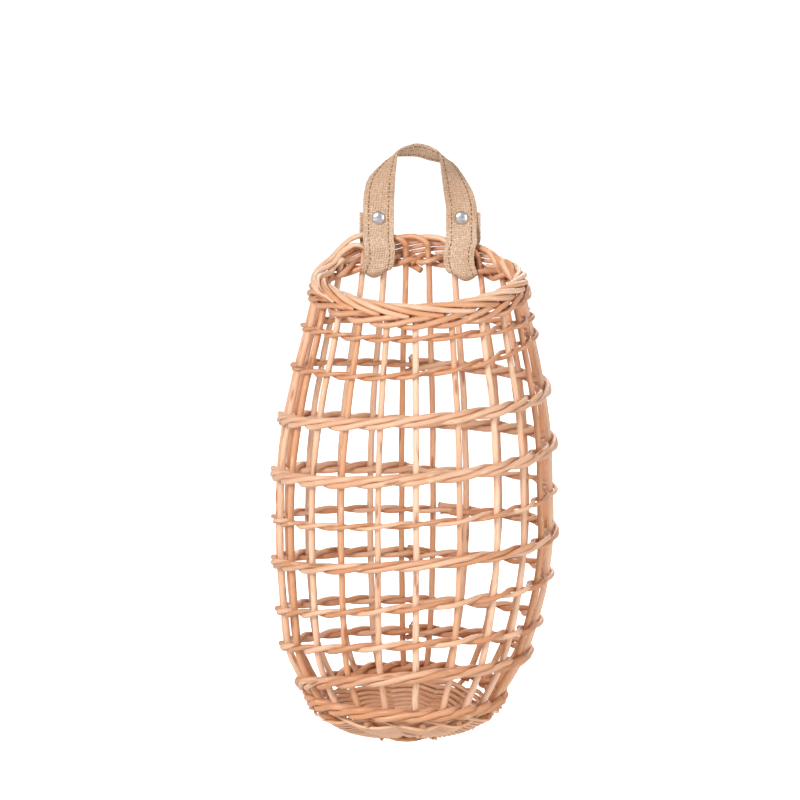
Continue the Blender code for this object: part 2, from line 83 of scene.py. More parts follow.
# Stakes, by angle from +X over the back, in degrees
STAKE_ANGLES = (
    15.5, 34.0, 51.0, 67.5, 82.0, 95.5, 109.0, 123.5, 142.0, 159.5, 177.5,
    191.5, 206.0, 222.0, 238.0, 254.5, 270.5, 289.0, 306.5, 322.0, 336.5, 356.0,
)
STAKE_COUNT = len(STAKE_ANGLES)
STAKE_BUTT_RADIUS = 0.0028
STAKE_TIP_RADIUS = 0.0024
STAKE_SHARES = (0.05, 0.12, 0.2, 0.3, 0.42, 0.55, 0.67, 0.79, 0.9, 1.0)

# Weavers
THIN_RADIUS = 0.0019
MEDIUM_RADIUS = 0.0023
THICK_RADIUS = 0.0026
FOOT_RADIUS = 0.0028
FOOT_LIFT = 0.0016
RIM_WEAVER_RADIUS = 0.0024
WEAVE_CLEARANCE = 0.0001
WALE_CLEARANCE = 0.0001
STACK_CLEARANCE = 0.0002
WALE_RISE_SHARE = 1.15

# The spiral of rows, as shares of the rim height at the left, front, right and back in turn
SPIRAL_START_ANGLE = 180.0
SPIRAL_STEP = 90.0
SPIRAL_SHARES = (
    0.035, 0.105, 0.115,
    0.128, 0.130, 0.184, 0.193,
    0.206, 0.215, 0.276, 0.306,
    0.322, 0.333, 0.380, 0.407,
    0.429, 0.437, 0.475, 0.508,
    0.527, 0.544, 0.582, 0.620,
    0.640, 0.675, 0.716, 0.749,
    0.779, 0.798, 0.820, 0.878,
    0.888, 0.893, 0.902, 0.918,
)

# Rolled border
BORDER_SPANS = 5
BORDER_TURN = 345.0
BORDER_START = 270.0
BORDER_CUT_SHARE = 0.25
BEND_LEAN_SHARE = 0.5
BEND_DROP_SHARE = 0.8
BORDER_RADIUS = 0.0048

# The border at the flat back, which runs from BACK_FROM to BACK_TO by the angle's sine:
# each stake goes over the top in BACK_OVER_SPANS, and its tail falls and thins after that
BACK_FROM = 0.38
BACK_TO = 0.72
BACK_START = 168.0
BACK_TURN = 148.0
BACK_HASTE = 0.62
BACK_OVER_SPANS = 2.0
BACK_TAIL_FALL = 0.0042
BACK_TAIL_TAPER = 0.28

# The strands that curl further round at the left, and the one that stands off the rim
CURL_TURN = 110.0
CURL_ANGLE = 172.0
CURL_SPREAD = 26.0
CURL_FROM = 3.9
LOOSE_STAKE = 6
LOOSE_LIFT = 0.0065
LOOSE_AT = 1.3
LOOSE_SPREAD = 1.0

# Rim waling
RIM_WALE_START = 5
RIM_WALE_RISE_SHARE = 1.55
RIM_WALE_BACK_LIFT = -0.0069

# Domed base
FOOT_BACK_RISE = 0.011
BASE_DROP = 0.0240
BASE_CROWN = 2.35
BASE_FRONT_LIFT = 0.006
BASE_STICK_ANGLES = (
    -0.5, 27.0, 58.0, 88.0, 119.0, 149.0, 182.5, 211.0, 243.0, 275.5, 301.0, 331.0,
)
BASE_ENDS = len(BASE_STICK_ANGLES)
BASE_STICK_RADIUS = 0.0021
BASE_STICK_SEAT = 0.0026
BASE_STICK_SHARES = (1.05, 0.97, 0.84, 0.64, 0.46, 0.30)
BASE_GROUP = 3

# Rods of the base, from the first turn to the last: thickness, swing above and below the
# sticks, and the lengths they are joined from, whose ends drop out of the weave
BASE_TURNS = 14
BASE_FIRST_SHARE = 0.2
BASE_LAST_SHARE = 0.985
BASE_ROD_SHARES = (0.0, 0.45, 0.62, 0.9, 1.0)
BASE_ROD_RADII = (0.0015, 0.0016, 0.0013, 0.0012, 0.0015)
BASE_BACK_SWELL = 0.9
BASE_LIFT_SHARES = (0.5, 0.7, 1.0, 1.0, 1.0)
BASE_RISE_SHARE = 0.8
BASE_RUN = 21.0
BASE_END_SPANS = 0.6
BASE_END_DROP = 0.0024
BASE_WARP = 0.0009
BASE_WAVE_STEPS = 5

# Strap and rivets
STRAP_WIDTH = 0.0265
STRAP_THICKNESS = 0.002
STRAP_LEFT = -0.034
STRAP_RIGHT = 0.0375
VIEW_ELEVATION = 10.0
ARCH_HEIGHT = 0.050
HINGE_ABOVE_RIVET = 0.0088
RIVET_ABOVE_RIM = 0.0472
FLAT_BELOW_RIVET = 0.0066
RIVET_CAP_RADIUS = 0.0058
RIVET_CAP_HEIGHT = 0.0030
RIVET_POST_RADIUS = 0.0016
RIVET_SIDES = 48
RIVET_DOME_STEPS = 10
RIVET_DOME_FULLNESS = 0.8
RIVET_LIP_SHARES = (0.96, 0.3)
RIVET_HEAD_SHARE = 0.78
RIVET_HEAD_EDGE = 0.85
SHARP_ANGLE = 50.0
MERGE_DISTANCE = 0.000005
TAIL_ABOVE_RIVET = 0.0042
TAIL_SHIFT = 0.0032
LAYER_GAP = 0.0003
LOOP_CLEARANCE = 0.0008
LEFT_GAP = (6, 7)
RIGHT_GAP = (2, 3)
BACK_ANGLES = range(160, 19, -1)

# Outer and inner edge of the arch from its hinge to its top, as seen from the front:
# outer x, outer rise, inner x, inner rise
ARCH_LEFT_EDGES = (
    (-0.04725, -0.0492, -0.02075, -0.0492),
    (-0.0469, -0.0405, -0.0204, -0.0410),
    (-0.0455, -0.0315, -0.0200, -0.0330),
    (-0.0427, -0.0240, -0.0196, -0.0255),
    (-0.0382, -0.0182, -0.0192, -0.0185),
    (-0.0326, -0.0130, -0.0187, -0.0120),
    (-0.0270, -0.0085, -0.0182, -0.0063),
    (-0.0216, -0.0053, -0.0172, -0.0018),
    (-0.0155, -0.0046, -0.0131, 0.0013),
    (-0.0082, -0.0047, -0.0070, 0.0036),
    (0.0, -0.0052, 0.0, 0.0048),
)
ARCH_RIGHT_EDGES = (
    (0.05075, -0.0492, 0.02425, -0.0492),
    (0.0492, -0.0415, 0.0230, -0.0420),
    (0.0470, -0.0350, 0.0219, -0.0350),
    (0.0440, -0.0295, 0.0212, -0.0290),
    (0.0406, -0.0237, 0.0205, -0.0230),
    (0.0370, -0.0184, 0.0198, -0.0172),
    (0.0330, -0.0136, 0.0192, -0.0104),
    (0.0282, -0.0102, 0.0183, -0.0040),
    (0.0217, -0.0104, 0.0155, -0.0004),
    (0.0108, -0.0084, 0.0084, 0.0031),
    (0.0, -0.0052, 0.0, 0.0048),
)

# The seat of the arch, where the part hangs, above the rivets and the body's foot
RIVET_BELOW_SEAT = ARCH_HEIGHT + HINGE_ABOVE_RIVET
HANG_HEIGHT = RIM_HEIGHT + RIVET_ABOVE_RIM + RIVET_BELOW_SEAT

# How a loop hangs round the rim: gathered and bulging underneath, and swayed sideways
GATHERED_SHARE = 0.64
BULGE = 0.0026
LEFT_SWAY = 0.0008
RIGHT_SWAY = -0.0020
LOOP_HANG = 0.0014
LOOP_EASE = 3.0
# From the rivet to the rim: share of the way in depth and in height, and how far the
# webbing follows the wall
LOOP_SIDE_SHARES = ((0.06, 0.0, 0.1), (0.38, 0.30, 0.4), (0.78, 0.65, 0.8))
# Under the rim: share of the depth, rise in half thicknesses, width as a share of the
# gathered width, and how far the webbing follows the wall
LOOP_UNDER_SHARES = ((0.22, 1.2, 1.15, 0.7), (0.50, 0.0, 1.0, 0.5), (0.76, 0.6, 1.08, 0.7))
# Where it turns under in front and comes up behind
LOOP_TURN_SHARE = 0.05
LOOP_TURN_WIDTHS = (0.90, 0.85)
# Sway at the rim, below it, at the waling and at the turn; bulge at the waling and the turns
SWAY_SHARES = (1.0, 1.1, 0.7, 0.4)
BULGE_SHARES = (0.2, 0.6, 0.7)

# How the webbing is drawn
RAIL_SHARES = (-1.0, -0.5, 0.0, 0.5, 1.0)
RAIL_STEPS = 60
CLOTH_STEP = 0.0005
CLOTH_EDGE_SQUARENESS = 14
CLOTH_LEAST = 0.0001
YARN_PITCH = 0.0022
YARN_WANDER = 0.3
YARN_RELIEF = 0.0007
YARN_SPREAD = 0.3
YARN_ROUNDNESS = 0.7
YARN_DIP = 0.45
WANDER_ALONG = 190.0
WANDER_SLOW = 61.0
WANDER_BEND = 3.0
WANDER_ACROSS = 260.0
WANDER_START = 2.0
# Distance from the top of the arch, and how much painted shade darkens the yarn there
LEG_SHADE_SHARES = ((0.015, 0.0), (0.035, 1.0), (0.060, 1.0), (0.095, 0.0))
EDGE_FRAY = 0.00018
SEAM_SIDE = 0.0083
SEAM_GROOVE = 0.0009
SEAM_DEPTH = 0.00025
SEAM_END = 0.004
STITCH_PITCH = 0.0040
STITCH_LENGTH = 0.0029
STITCH_RADIUS = 0.00036
STITCH_SIDES = 8
STITCH_RINGS = 6
SEAM_PATH_STEP = 2

# How the rods are drawn
RING_SPACING = 0.0013
ROD_SIDES = 12
WARP_AMPLITUDE = 0.0022
WARP_SCALE = 14.0
WOBBLE_AMPLITUDE = 0.0005
WOBBLE_SCALE = 70.0
THICKNESS_VARIATION = 0.16
THICKNESS_SCALE = 45.0
WAVE_STEPS = 6
PAIR_RISE_SHARE = 0.84
# Over how many spans the tips of a row's rods leave it, and how far each falls at its
# beginning and rises at its end
TIP_SPANS = 0.8
TIP_FALL = (-0.0050, -0.0022, -0.0064)
TIP_RISE = (0.0048, -0.0045, 0.0026)
SKIN_CORNERS = 4

# Chance, with fixed seeds, and how far it goes
RANDOM = random.Random(11)
WEBBING_SEED = 5
BUTT_SPREAD = (0.92, 1.08)
THICK_END_SPREAD = (1.0, 1.1)
THIN_END_SPREAD = (0.88, 0.98)
TIP_SPREAD = (-0.12, 0.12)
BASE_RUN_SPREAD = (0.8, 1.2)
GRAIN_START_SPREAD = (1.0, 9.0)
STITCH_SPREAD = (0.82, 1.12)

# Colours, from 0 to 255: pale, ruddy and shaded willow
STAKE_COLOURS = ((234, 196, 166), (211, 153, 112), (156, 92, 54))
WEAVER_COLOURS = ((225, 182, 150), (200, 141, 101), (146, 86, 50))
BASE_COLOURS = ((230, 186, 152), (205, 145, 103), (118, 64, 34))
SCUFF_COLOUR = (243, 214, 184)
CUT_COLOURS = ((214, 168, 122), (126, 78, 44))
YARN_COLOURS = ((196, 165, 138), (224, 198, 173))
PATCH_COLOUR = (178, 142, 112)
# Painted shade in the hollows between the yarns
HOLLOW_SHADE_COLOUR = (150, 110, 78)
HAIR_COLOUR = (238, 220, 196)
# Painted shade down both legs of the strap
LEG_SHADE_COLOUR = (160, 118, 88)
THREAD_COLOURS = ((136, 98, 70), (106, 74, 50))
STEEL_COLOURS = ((226, 228, 232), (196, 198, 204))

# Patterns, as repeats to the metre: along a rod and across it, or along and across webbing
PATCH_GRAIN = (14.0, 60.0, 60.0)
STREAK_GRAIN = (60.0, 900.0, 900.0)
FIBRE_GRAIN = (240.0, 2600.0, 2600.0)
KNOT_GRAIN = (26.0, 130.0, 130.0)
SCUFF_GRAIN = (90.0, 300.0, 300.0)
YARN_GRAIN = (420.0, 420.0, 1.0)
HAIR_GRAIN = (2600.0, 1500.0, 1.0)
CLOTH_PATCH_GRAIN = (60.0, 60.0, 1.0)
PITH_SCALE = 1800.0
TWIST_SCALE = 2400.0
WEAR_SCALE = 500.0
POLISH_SCALE = 4000.0

# Layers of colour: where a pattern begins to show, where it shows in full, and how strongly
RUDDY_LAYER = (0.35, 1.05, 1.0)
STREAK_LAYER = (0.52, 0.74, 0.45)
KNOT_LAYER = (0.24, 0.10, 0.75)
SCUFF_LAYER = (0.64, 0.76, 0.4)
YARN_LAYER = (0.3, 0.7, 1.0)
CLOTH_PATCH_LAYER = (0.35, 0.75, 0.35)
# Painted shade in the hollows between the yarns, where they lie low
HOLLOW_SHADE_LAYER = (0.75, 0.1, 0.62)
HAIR_LAYER = (0.6, 0.8, 0.3)
# How strongly painted shade darkens both legs of the strap
LEG_SHADE_STRENGTH = 0.34
# What a rod's own tone and the patches along it add to its ruddiness
RUDDY_SHARES = (0.7, 0.8)

# Relief: its height, its strength, and the shares of streaks, fibres and knots, or of hairs
# and yarns
WILLOW_RELIEF = (0.0004, 0.7)
WILLOW_RELIEF_SHARES = (0.5, 0.25, 0.9)
CLOTH_RELIEF = (0.0003, 0.8)
CLOTH_RELIEF_SHARES = (0.6, 0.3)

# Roughness: the least, and what the patterns add to it
WILLOW_ROUGHNESS = (0.30, 0.25)
STEEL_ROUGHNESS = (0.2, 0.14, 0.08)

# Studio
FLOOR_LEVEL = -0.60
FLOOR_SIZE = 30.0
FLOOR_GREY = 0.9
FLOOR_ROUGHNESS = 0.9
FLOOR_GLOW = 0.75
WORLD_LIGHT = 0.42
LIGHT_AIM = (0.0, -0.05, -0.28)
LIGHTS = (
    ("key_light", (-1.3, -1.9, 1.1), (1.0, 1.0), 58.0),
    ("fill_light", (1.8, -1.4, 0.2), (1.4, 1.4), 18.0),
    ("back_light", (0.4, 1.8, 0.9), (1.5, 1.0), 22.0),
)
CAMERA_DISTANCE = 4.6
SENSOR_WIDTH = 36.0
PHOTO_PIXELS = 800.0
METRES_PER_PIXEL = 0.00086
SEAT_PIXEL = (418.0, 150.0)


# Shape of the wall

def smooth_table(table, share, column):
    """Cubic through the rows of a table, by the share in its first column."""
    last = len(table) - 1
    index = 0
    while index < last - 1 and table[index + 1][0] < share:
        index += 1
    low, high = table[index], table[index + 1]
    width = high[0] - low[0]
    t = (share - low[0]) / width

    def slope(i):
        before, after = table[max(i - 1, 0)], table[min(i + 1, last)]
        return (after[column] - before[column]) / (after[0] - before[0])

    t2, t3 = t * t, t * t * t
    return (
        low[column] * (2 * t3 - 3 * t2 + 1)
        + high[column] * (3 * t2 - 2 * t3)
        + slope(index) * width * (t3 - 2 * t2 + t)
        + slope(index + 1) * width * (t3 - t2)
    )


def section(height):
    share = max(0.0, height / RIM_HEIGHT)
    left, right, front, back = (smooth_table(SECTION_SHARES, share, c) for c in range(1, 5))
    return left * HALF_WIDTH, right * HALF_WIDTH, front * FRONT_DEPTH, back * BACK_DEPTH


def outline(angle, height):
    """Point of the wall in plan, in the body's own place."""
    left, right, front, back = section(height)
    c, s = math.cos(math.radians(angle)), math.sin(math.radians(angle))
    x = c * (right if c > 0 else left)
    y = back * abs(s) ** BACK_FLATNESS if s > 0 else -front * abs(s)
    return Vector((x, y, 0.0))


def outward(angle, height):
    step = 2.0
    along = outline(angle + step, height) - outline(angle - step, height)
    return Vector((along.y, -along.x, 0.0)).normalized()


def place(x, y, height):
    """From the body's place to the frame."""
    return Vector((x - BODY_SIDE_STEP, y - BODY_SETBACK, height - HANG_HEIGHT))


def wall_point(angle, height, out=0.0, lift=0.0):
    point = outline(angle, height) + outward(angle, height) * out
    return place(point.x, point.y, height + lift)


def rim_height(angle):
    s = math.sin(math.radians(angle))
    left = RIM_LEFT_RISE * math.exp(-((angle % 360.0 - RIM_LEFT_ANGLE) / RIM_LEFT_SPREAD) ** 2)
    if s > 0:
        return RIM_HEIGHT + left + RIM_BACK_RISE * s ** RIM_EASE
    return RIM_HEIGHT + left - RIM_FRONT_DROP * abs(s) ** RIM_EASE


def spiral_height(angle):
    """Height of the spiral of rows after so many degrees round from its start."""
    table = [(i, share) for i, share in enumerate(SPIRAL_SHARES)]
    at = (angle - SPIRAL_START_ANGLE) / SPIRAL_STEP
    at = min(max(at, 0.0), len(table) - 1.0)
    return smooth_table(table, at, 1) * RIM_HEIGHT


def ring_angle(angles, index):
    """Angle of one of a ring, or of a place between two, counted on over the turns."""
    whole = math.floor(index)
    rest = index - whole

    def exact(i):
        turn, place_in_turn = divmod(i, len(angles))
        return 360.0 * turn + angles[place_in_turn]

    return exact(whole) * (1.0 - rest) + exact(whole + 1) * rest


def stake_angle(index):
    return ring_angle(STAKE_ANGLES, index)


# Nodes

class Value:
    """A number in a shader, so that sums on it read as sums."""

    def __init__(self, paint, socket):
        self.paint, self.socket = paint, socket

    def __add__(self, other):
        return self.paint.sum_of("ADD", self, other)

    def __mul__(self, other):
        return self.paint.sum_of("MULTIPLY", self, other)


class Nodes:
    """A node tree, with its nodes added by a few short calls."""

    def __init__(self, tree):
        self.tree = tree

    def node(self, kind, settings=None, sockets=None):
        made = self.tree.nodes.new(kind)
        for name, setting in (settings or {}).items():
            setattr(made, name, setting)
        for name, given in (sockets or {}).items():
            self.feed(made.inputs[name], given)
        return made

    def first(self, kind, settings=None, sockets=None):
        """The first output of a new node."""
        return self.node(kind, settings, sockets).outputs[0]

    def feed(self, socket, given):
        if isinstance(given, Value):
            given = given.socket
        if isinstance(given, bpy.types.NodeSocket):
            self.tree.links.new(given, socket)
        else:
            socket.default_value = given

    def maths(self, operation, *terms):
        return self.first("ShaderNodeMath", {"operation": operation}, dict(enumerate(terms)))

    def noise(self, vector, scale, detail=1.0, roughness=0.5):
        return self.node(
            "ShaderNodeTexNoise", None,
            {"Vector": vector, "Scale": scale, "Detail": detail, "Roughness": roughness},
        ).outputs


# Materials

class Paint(Nodes):
    """A material. Its patterns are values, from 0 to 1."""

    def __init__(self, name, roughness=0.5, metallic=0.0):
        self.material = bpy.data.materials.new(name)
        self.material.use_nodes = True
        super().__init__(self.material.node_tree)
        self.shader = self.tree.nodes["Principled BSDF"]
        self.shader.inputs["Roughness"].default_value = roughness
        self.shader.inputs["Metallic"].default_value = metallic

    def sum_of(self, operation, *terms):
        return Value(self, self.maths(operation, *terms))

    def attribute(self, name, output="Fac"):
        made = self.node("ShaderNodeAttribute", {"attribute_name": name})
        return Value(self, made.outputs[output])

    def stretch(self, vector, scales):
        return self.first("ShaderNodeMapping", None, {"Vector": vector, "Scale": scales})

    def pattern(self, grain, scales, detail, roughness=0.5):
        """Noise along the grain of a rod or of the webbing."""
        stretched = self.stretch(grain, scales)
        return Value(self, self.noise(stretched, 1.0, detail, roughness)["Fac"])

    def speckle(self, scale, detail):
        """The same noise in all directions, fixed to the object."""
        spot = self.node("ShaderNodeTexCoord").outputs["Object"]
        return Value(self, self.noise(spot, scale, detail)["Fac"])

    def step(self, value, first, full):
        """0 up to the first limit and 1 from the second, with a soft change between."""
        return Value(self, self.first(
            "ShaderNodeMapRange", {"interpolation_type": "SMOOTHSTEP"},
            {"Value": value, "From Min": first, "From Max": full},
        ))

    def layer(self, under, value, limits, colour):
        """A colour laid over another where a value lies beyond its first limit."""
        first, full, strength = limits
        return self.blend(self.step(value, first, full) * strength, under, colour)

    def blend(self, share, first, second):
        """The second colour laid over the first, by a share from 0 to 1."""
        made = self.node("ShaderNodeMix", {"data_type": "RGBA"})
        for index, given in ((0, share), (6, first), (7, second)):
            self.feed(made.inputs[index], given)
        return made.outputs[2]

    def bump(self, height, distance, strength):
        relief = {"Height": height, "Distance": distance, "Strength": strength}
        self.feed(self.shader.inputs["Normal"], self.first("ShaderNodeBump", None, relief))

    def colour(self, given):
        self.feed(self.shader.inputs["Base Color"], given)

    def roughness(self, given):
        self.feed(self.shader.inputs["Roughness"], given)


def srgb(colour):
    """A colour as a paint chart gives it, in the shader's linear light."""
    def linear(level):
        share = level / 255.0
        return share / 12.92 if share <= 0.04045 else ((share + 0.055) / 1.055) ** 2.4

    return (*(linear(level) for level in colour), 1.0)


def peeled_willow(name, colours):
    """Peeled rod: pale or ruddy by rod and along it, fine grain, knots and scuffs."""
    pale, ruddy, shade = map(srgb, colours)
    paint = Paint(name)
    grain = paint.attribute("grain", "Vector")
    patch = paint.pattern(grain, PATCH_GRAIN, detail=2.0)
    streak = paint.pattern(grain, STREAK_GRAIN, detail=3.0, roughness=0.6)
    fibre = paint.pattern(grain, FIBRE_GRAIN, detail=2.0, roughness=0.7)
    scuff = paint.pattern(grain, SCUFF_GRAIN, detail=1.0)
    knots = {"Vector": paint.stretch(grain, KNOT_GRAIN), "Scale": 1.0, "Randomness": 1.0}
    to_knot = Value(paint, paint.node("ShaderNodeTexVoronoi", None, knots).outputs["Distance"])
    own, along = RUDDY_SHARES
    ruddiness = paint.attribute("tone") * own + patch * along
    body = paint.layer(pale, ruddiness, RUDDY_LAYER, ruddy)
    body = paint.layer(body, streak, STREAK_LAYER, shade)
    body = paint.layer(body, to_knot, KNOT_LAYER, shade)
    paint.colour(paint.layer(body, scuff, SCUFF_LAYER, srgb(SCUFF_COLOUR)))
    least, more = WILLOW_ROUGHNESS
    paint.roughness(streak * more + least)
    of_streak, of_fibre, of_knot = WILLOW_RELIEF_SHARES
    knot = paint.step(to_knot, *KNOT_LAYER[:2])
    paint.bump(streak * of_streak + fibre * of_fibre + knot * of_knot, *WILLOW_RELIEF)
    return paint.material


def cut_willow():
    """The end of a rod: white wood speckled with dark pith."""
    paint = Paint("cut_willow", roughness=0.75)
    speckle = paint.speckle(PITH_SCALE, detail=2.0)
    paint.colour(paint.blend(speckle, *map(srgb, CUT_COLOURS)))
    return paint.material


def webbing_cloth():
    """Thick jute webbing: two tones of yarn, hairy, with painted shade in the hollows between the yarns
    and painted shade down both legs."""
    paint = Paint("webbing_cloth", roughness=0.95)
    grain = paint.attribute("grain", "Vector")
    yarn = paint.pattern(grain, YARN_GRAIN, detail=2.0)
    hair = paint.pattern(grain, HAIR_GRAIN, detail=3.0, roughness=0.7)
    patch = paint.pattern(grain, CLOTH_PATCH_GRAIN, detail=2.0)
    deep, pale = map(srgb, YARN_COLOURS)
    cloth = paint.layer(deep, yarn, YARN_LAYER, pale)
    for value, limits, colour in (
        (patch, CLOTH_PATCH_LAYER, PATCH_COLOUR),
        # Painted shade in the hollows between the yarns
        (paint.attribute("yarn_height"), HOLLOW_SHADE_LAYER, HOLLOW_SHADE_COLOUR),
        (hair, HAIR_LAYER, HAIR_COLOUR),
    ):
        cloth = paint.layer(cloth, value, limits, srgb(colour))
    # Painted shade down both legs
    paint.colour(paint.blend(paint.attribute("leg_shade") * LEG_SHADE_STRENGTH, cloth, srgb(LEG_SHADE_COLOUR)))
    of_hair, of_yarn = CLOTH_RELIEF_SHARES
    paint.bump(hair * of_hair + yarn * of_yarn, *CLOTH_RELIEF)
    return paint.material


def seam_thread():
    """Brown thread, two tones as it twists."""
    paint = Paint("seam_thread", roughness=0.85)
    twist = paint.speckle(TWIST_SCALE, detail=1.0)
    paint.colour(paint.blend(twist, *map(srgb, THREAD_COLOURS)))
    return paint.material


def polished_steel():
    """Bright steel, dulled here and there by handling."""
    paint = Paint("polished_steel", metallic=1.0)
    wear = paint.speckle(WEAR_SCALE, detail=3.0)
    fine = paint.speckle(POLISH_SCALE, detail=1.0)
    paint.colour(paint.blend(wear, *map(srgb, STEEL_COLOURS)))
    least, of_wear, of_fine = STEEL_ROUGHNESS
    paint.roughness(wear * of_wear + fine * of_fine + least)
    return paint.material


STAKE_WILLOW = peeled_willow("stake_willow", STAKE_COLOURS)
WEAVER_WILLOW = peeled_willow("weaver_willow", WEAVER_COLOURS)
BASE_WILLOW = peeled_willow("base_willow", BASE_COLOURS)
CUT_WILLOW = cut_willow()
WEBBING = webbing_cloth()
THREAD = seam_thread()
STEEL = polished_steel()


# Geometry node trees

class Tree(Nodes):
    """A geometry node tree, with named inputs."""

    def __init__(self, name, **inputs):
        super().__init__(bpy.data.node_groups.new(name, "GeometryNodeTree"))
        kinds = {float: "Float", int: "Int", bpy.types.Material: "Material"}
        face = self.tree.interface
        face.new_socket("Geometry", in_out="INPUT", socket_type="NodeSocketGeometry")
        for label, kind in inputs.items():
            face.new_socket(label, in_out="INPUT", socket_type="NodeSocket" + kinds[kind])
        face.new_socket("Geometry", in_out="OUTPUT", socket_type="NodeSocketGeometry")
        self.given = self.node("NodeGroupInput").outputs
        self.out = self.node("NodeGroupOutput").inputs

    def vector(self, x, y, z=0.0):
        return self.first("ShaderNodeCombineXYZ", None, {0: x, 1: y, 2: z})

    def vector_maths(self, operation, *terms):
        return self.first("ShaderNodeVectorMath", {"operation": operation}, dict(enumerate(terms)))

    def stray(self, position, scale, reach):
        """A smooth step aside, in all three directions."""
        centred = self.vector_maths("SUBTRACT", self.noise(position, scale)["Color"], (0.5, 0.5, 0.5))
        return self.first(
            "ShaderNodeVectorMath", {"operation": "SCALE"}, {"Vector": centred, "Scale": reach},
        )

    def even_curve(self, curve, length):
        return self.first(
            "GeometryNodeResampleCurve", {"mode": "LENGTH"}, {"Curve": curve, "Length": length},
        )

    def captured(self, geometry, value):
        """Keeps a value on a curve's points, for use after the curve becomes a mesh."""
        made = self.node("GeometryNodeCaptureAttribute")
        made.capture_items.new("FLOAT", "kept")
        self.feed(made.inputs[0], geometry)
        self.feed(made.inputs[1], value)
        return made.outputs[0], made.outputs[1]

    def stored(self, geometry, name, kind, value):
        return self.first(
            "GeometryNodeStoreNamedAttribute", {"data_type": kind, "domain": "POINT"},
            {"Geometry": geometry, "Name": name, "Value": value},
        )

    def painted(self, geometry, material, selection=True):
        return self.first(
            "GeometryNodeSetMaterial", None,
            {"Geometry": geometry, "Selection": selection, "Material": material},
        )

    def ends_in(self, geometry):
        """Makes any instances real, and hands out the finished tree."""
        real = self.first("GeometryNodeRealizeInstances", None, {"Geometry": geometry})
        self.feed(self.out[0], real)
        return self.tree


def crooked_path(tree, own_position, position):
    """The path through the control points, in even steps. It strays a little, partly with
    its neighbours and partly by itself."""
    given = tree.given
    smooth = tree.first(
        "GeometryNodeCurveSplineType", {"spline_type": "CATMULL_ROM"}, {"Curve": given["Geometry"]},
    )
    warp = tree.stray(position, WARP_SCALE, given["Warp"])
    wobble = tree.stray(own_position, WOBBLE_SCALE, given["Wobble"])
    offset = tree.vector_maths("ADD", warp, wobble)
    even = tree.even_curve(smooth, given["Spacing"])
    return tree.first("GeometryNodeSetPosition", None, {"Geometry": even, "Offset": offset})


def round_skin(tree, path, radius):
    """A round tube with closed ends on a path, and how far round it each point lies."""
    factor = tree.node("GeometryNodeSplineParameter").outputs["Factor"]
    circle = {"Resolution": tree.given["Sides"], "Radius": 1.0}
    ring, around = tree.captured(tree.first("GeometryNodeCurvePrimitiveCircle", None, circle), factor)
    skin = {"Curve": path, "Profile Curve": ring, "Scale": radius, "Fill Caps": True}
    return tree.first("GeometryNodeCurveToMesh", None, skin), around


def grain_place(tree, along, around):
    """Where a point lies in the wood's grain: along the rod, and round it as on a butt."""
    turn = tree.maths("MULTIPLY", around, 2.0 * math.pi)
    side = tree.maths("MULTIPLY", tree.maths("COSINE", turn), STAKE_BUTT_RADIUS)
    front = tree.maths("MULTIPLY", tree.maths("SINE", turn), STAKE_BUTT_RADIUS)
    return tree.vector(tree.maths("ADD", along, tree.given["Seed"]), side, front)


def rod_tree():
    """A curve of control points becomes a round rod, a little crooked, with its cut ends."""
    tree = Tree(
        "willow_rod", Spacing=float, Sides=int, Warp=float, Wobble=float, Seed=float,
        Tone=float, Willow=bpy.types.Material, Cut=bpy.types.Material,
    )
    given = tree.given
    position = tree.first("GeometryNodeInputPosition")
    own_position = tree.vector_maths("ADD", position, tree.vector(given["Seed"], given["Seed"]))
    path = crooked_path(tree, own_position, position)
    swell = tree.noise(own_position, THICKNESS_SCALE)["Fac"]
    swell = tree.maths("MULTIPLY", swell, THICKNESS_VARIATION)
    swell = tree.maths("ADD", swell, 1.0 - THICKNESS_VARIATION / 2)
    radius = tree.first("GeometryNodeInputRadius")
    swollen = {"Curve": path, "Radius": tree.maths("MULTIPLY", radius, swell)}
    path = tree.first("GeometryNodeSetCurveRadius", None, swollen)
    path, along = tree.captured(path, tree.node("GeometryNodeSplineParameter").outputs["Length"])
    mesh, around = round_skin(tree, path, radius)
    mesh = tree.stored(mesh, "grain", "FLOAT_VECTOR", grain_place(tree, along, around))
    mesh = tree.stored(mesh, "tone", "FLOAT", given["Tone"])
    mesh = tree.painted(mesh, given["Willow"])
    corners = tree.first("GeometryNodeInputMeshFaceNeighbors")
    is_end = tree.first(
        "FunctionNodeCompare", {"data_type": "INT", "operation": "GREATER_THAN"},
        {2: corners, 3: SKIN_CORNERS},
    )
    return tree.ends_in(tree.painted(mesh, given["Cut"], is_end))


ROD_TREE = rod_tree()


def new_object(name, data):
    obj = bpy.data.objects.new(name, data)
    bpy.context.scene.collection.objects.link(obj)
    return obj


def path_object(name, runs):
    """A curve object with one spline for each run of points and their radii."""
    curve = bpy.data.curves.new(name, "CURVE")
    curve.dimensions = "3D"
    for points, radii in runs:
        spline = curve.splines.new("POLY")
        spline.points.add(len(points) - 1)
        for item, point, radius in zip(spline.points, points, radii):
            item.co = (*point, 1.0)
            item.radius = radius
    return new_object(name, curve)


def grown(obj, tree, values, name):
    """What a tree makes of an object, as a plain mesh in a new object of that name."""
    modifier = obj.modifiers.new("grown", "NODES")
    modifier.node_group = tree
    for item in tree.interface.items_tree:
        if item.in_out == "INPUT" and item.name in values:
            modifier[item.identifier] = values[item.name]
    bpy.context.view_layer.update()
    depsgraph = bpy.context.evaluated_depsgraph_get()
    mesh = bpy.data.meshes.new_from_object(obj.evaluated_get(depsgraph), depsgraph=depsgraph)
    mesh.name = name
    bpy.data.objects.remove(obj, do_unlink=True)
    return new_object(name, mesh)


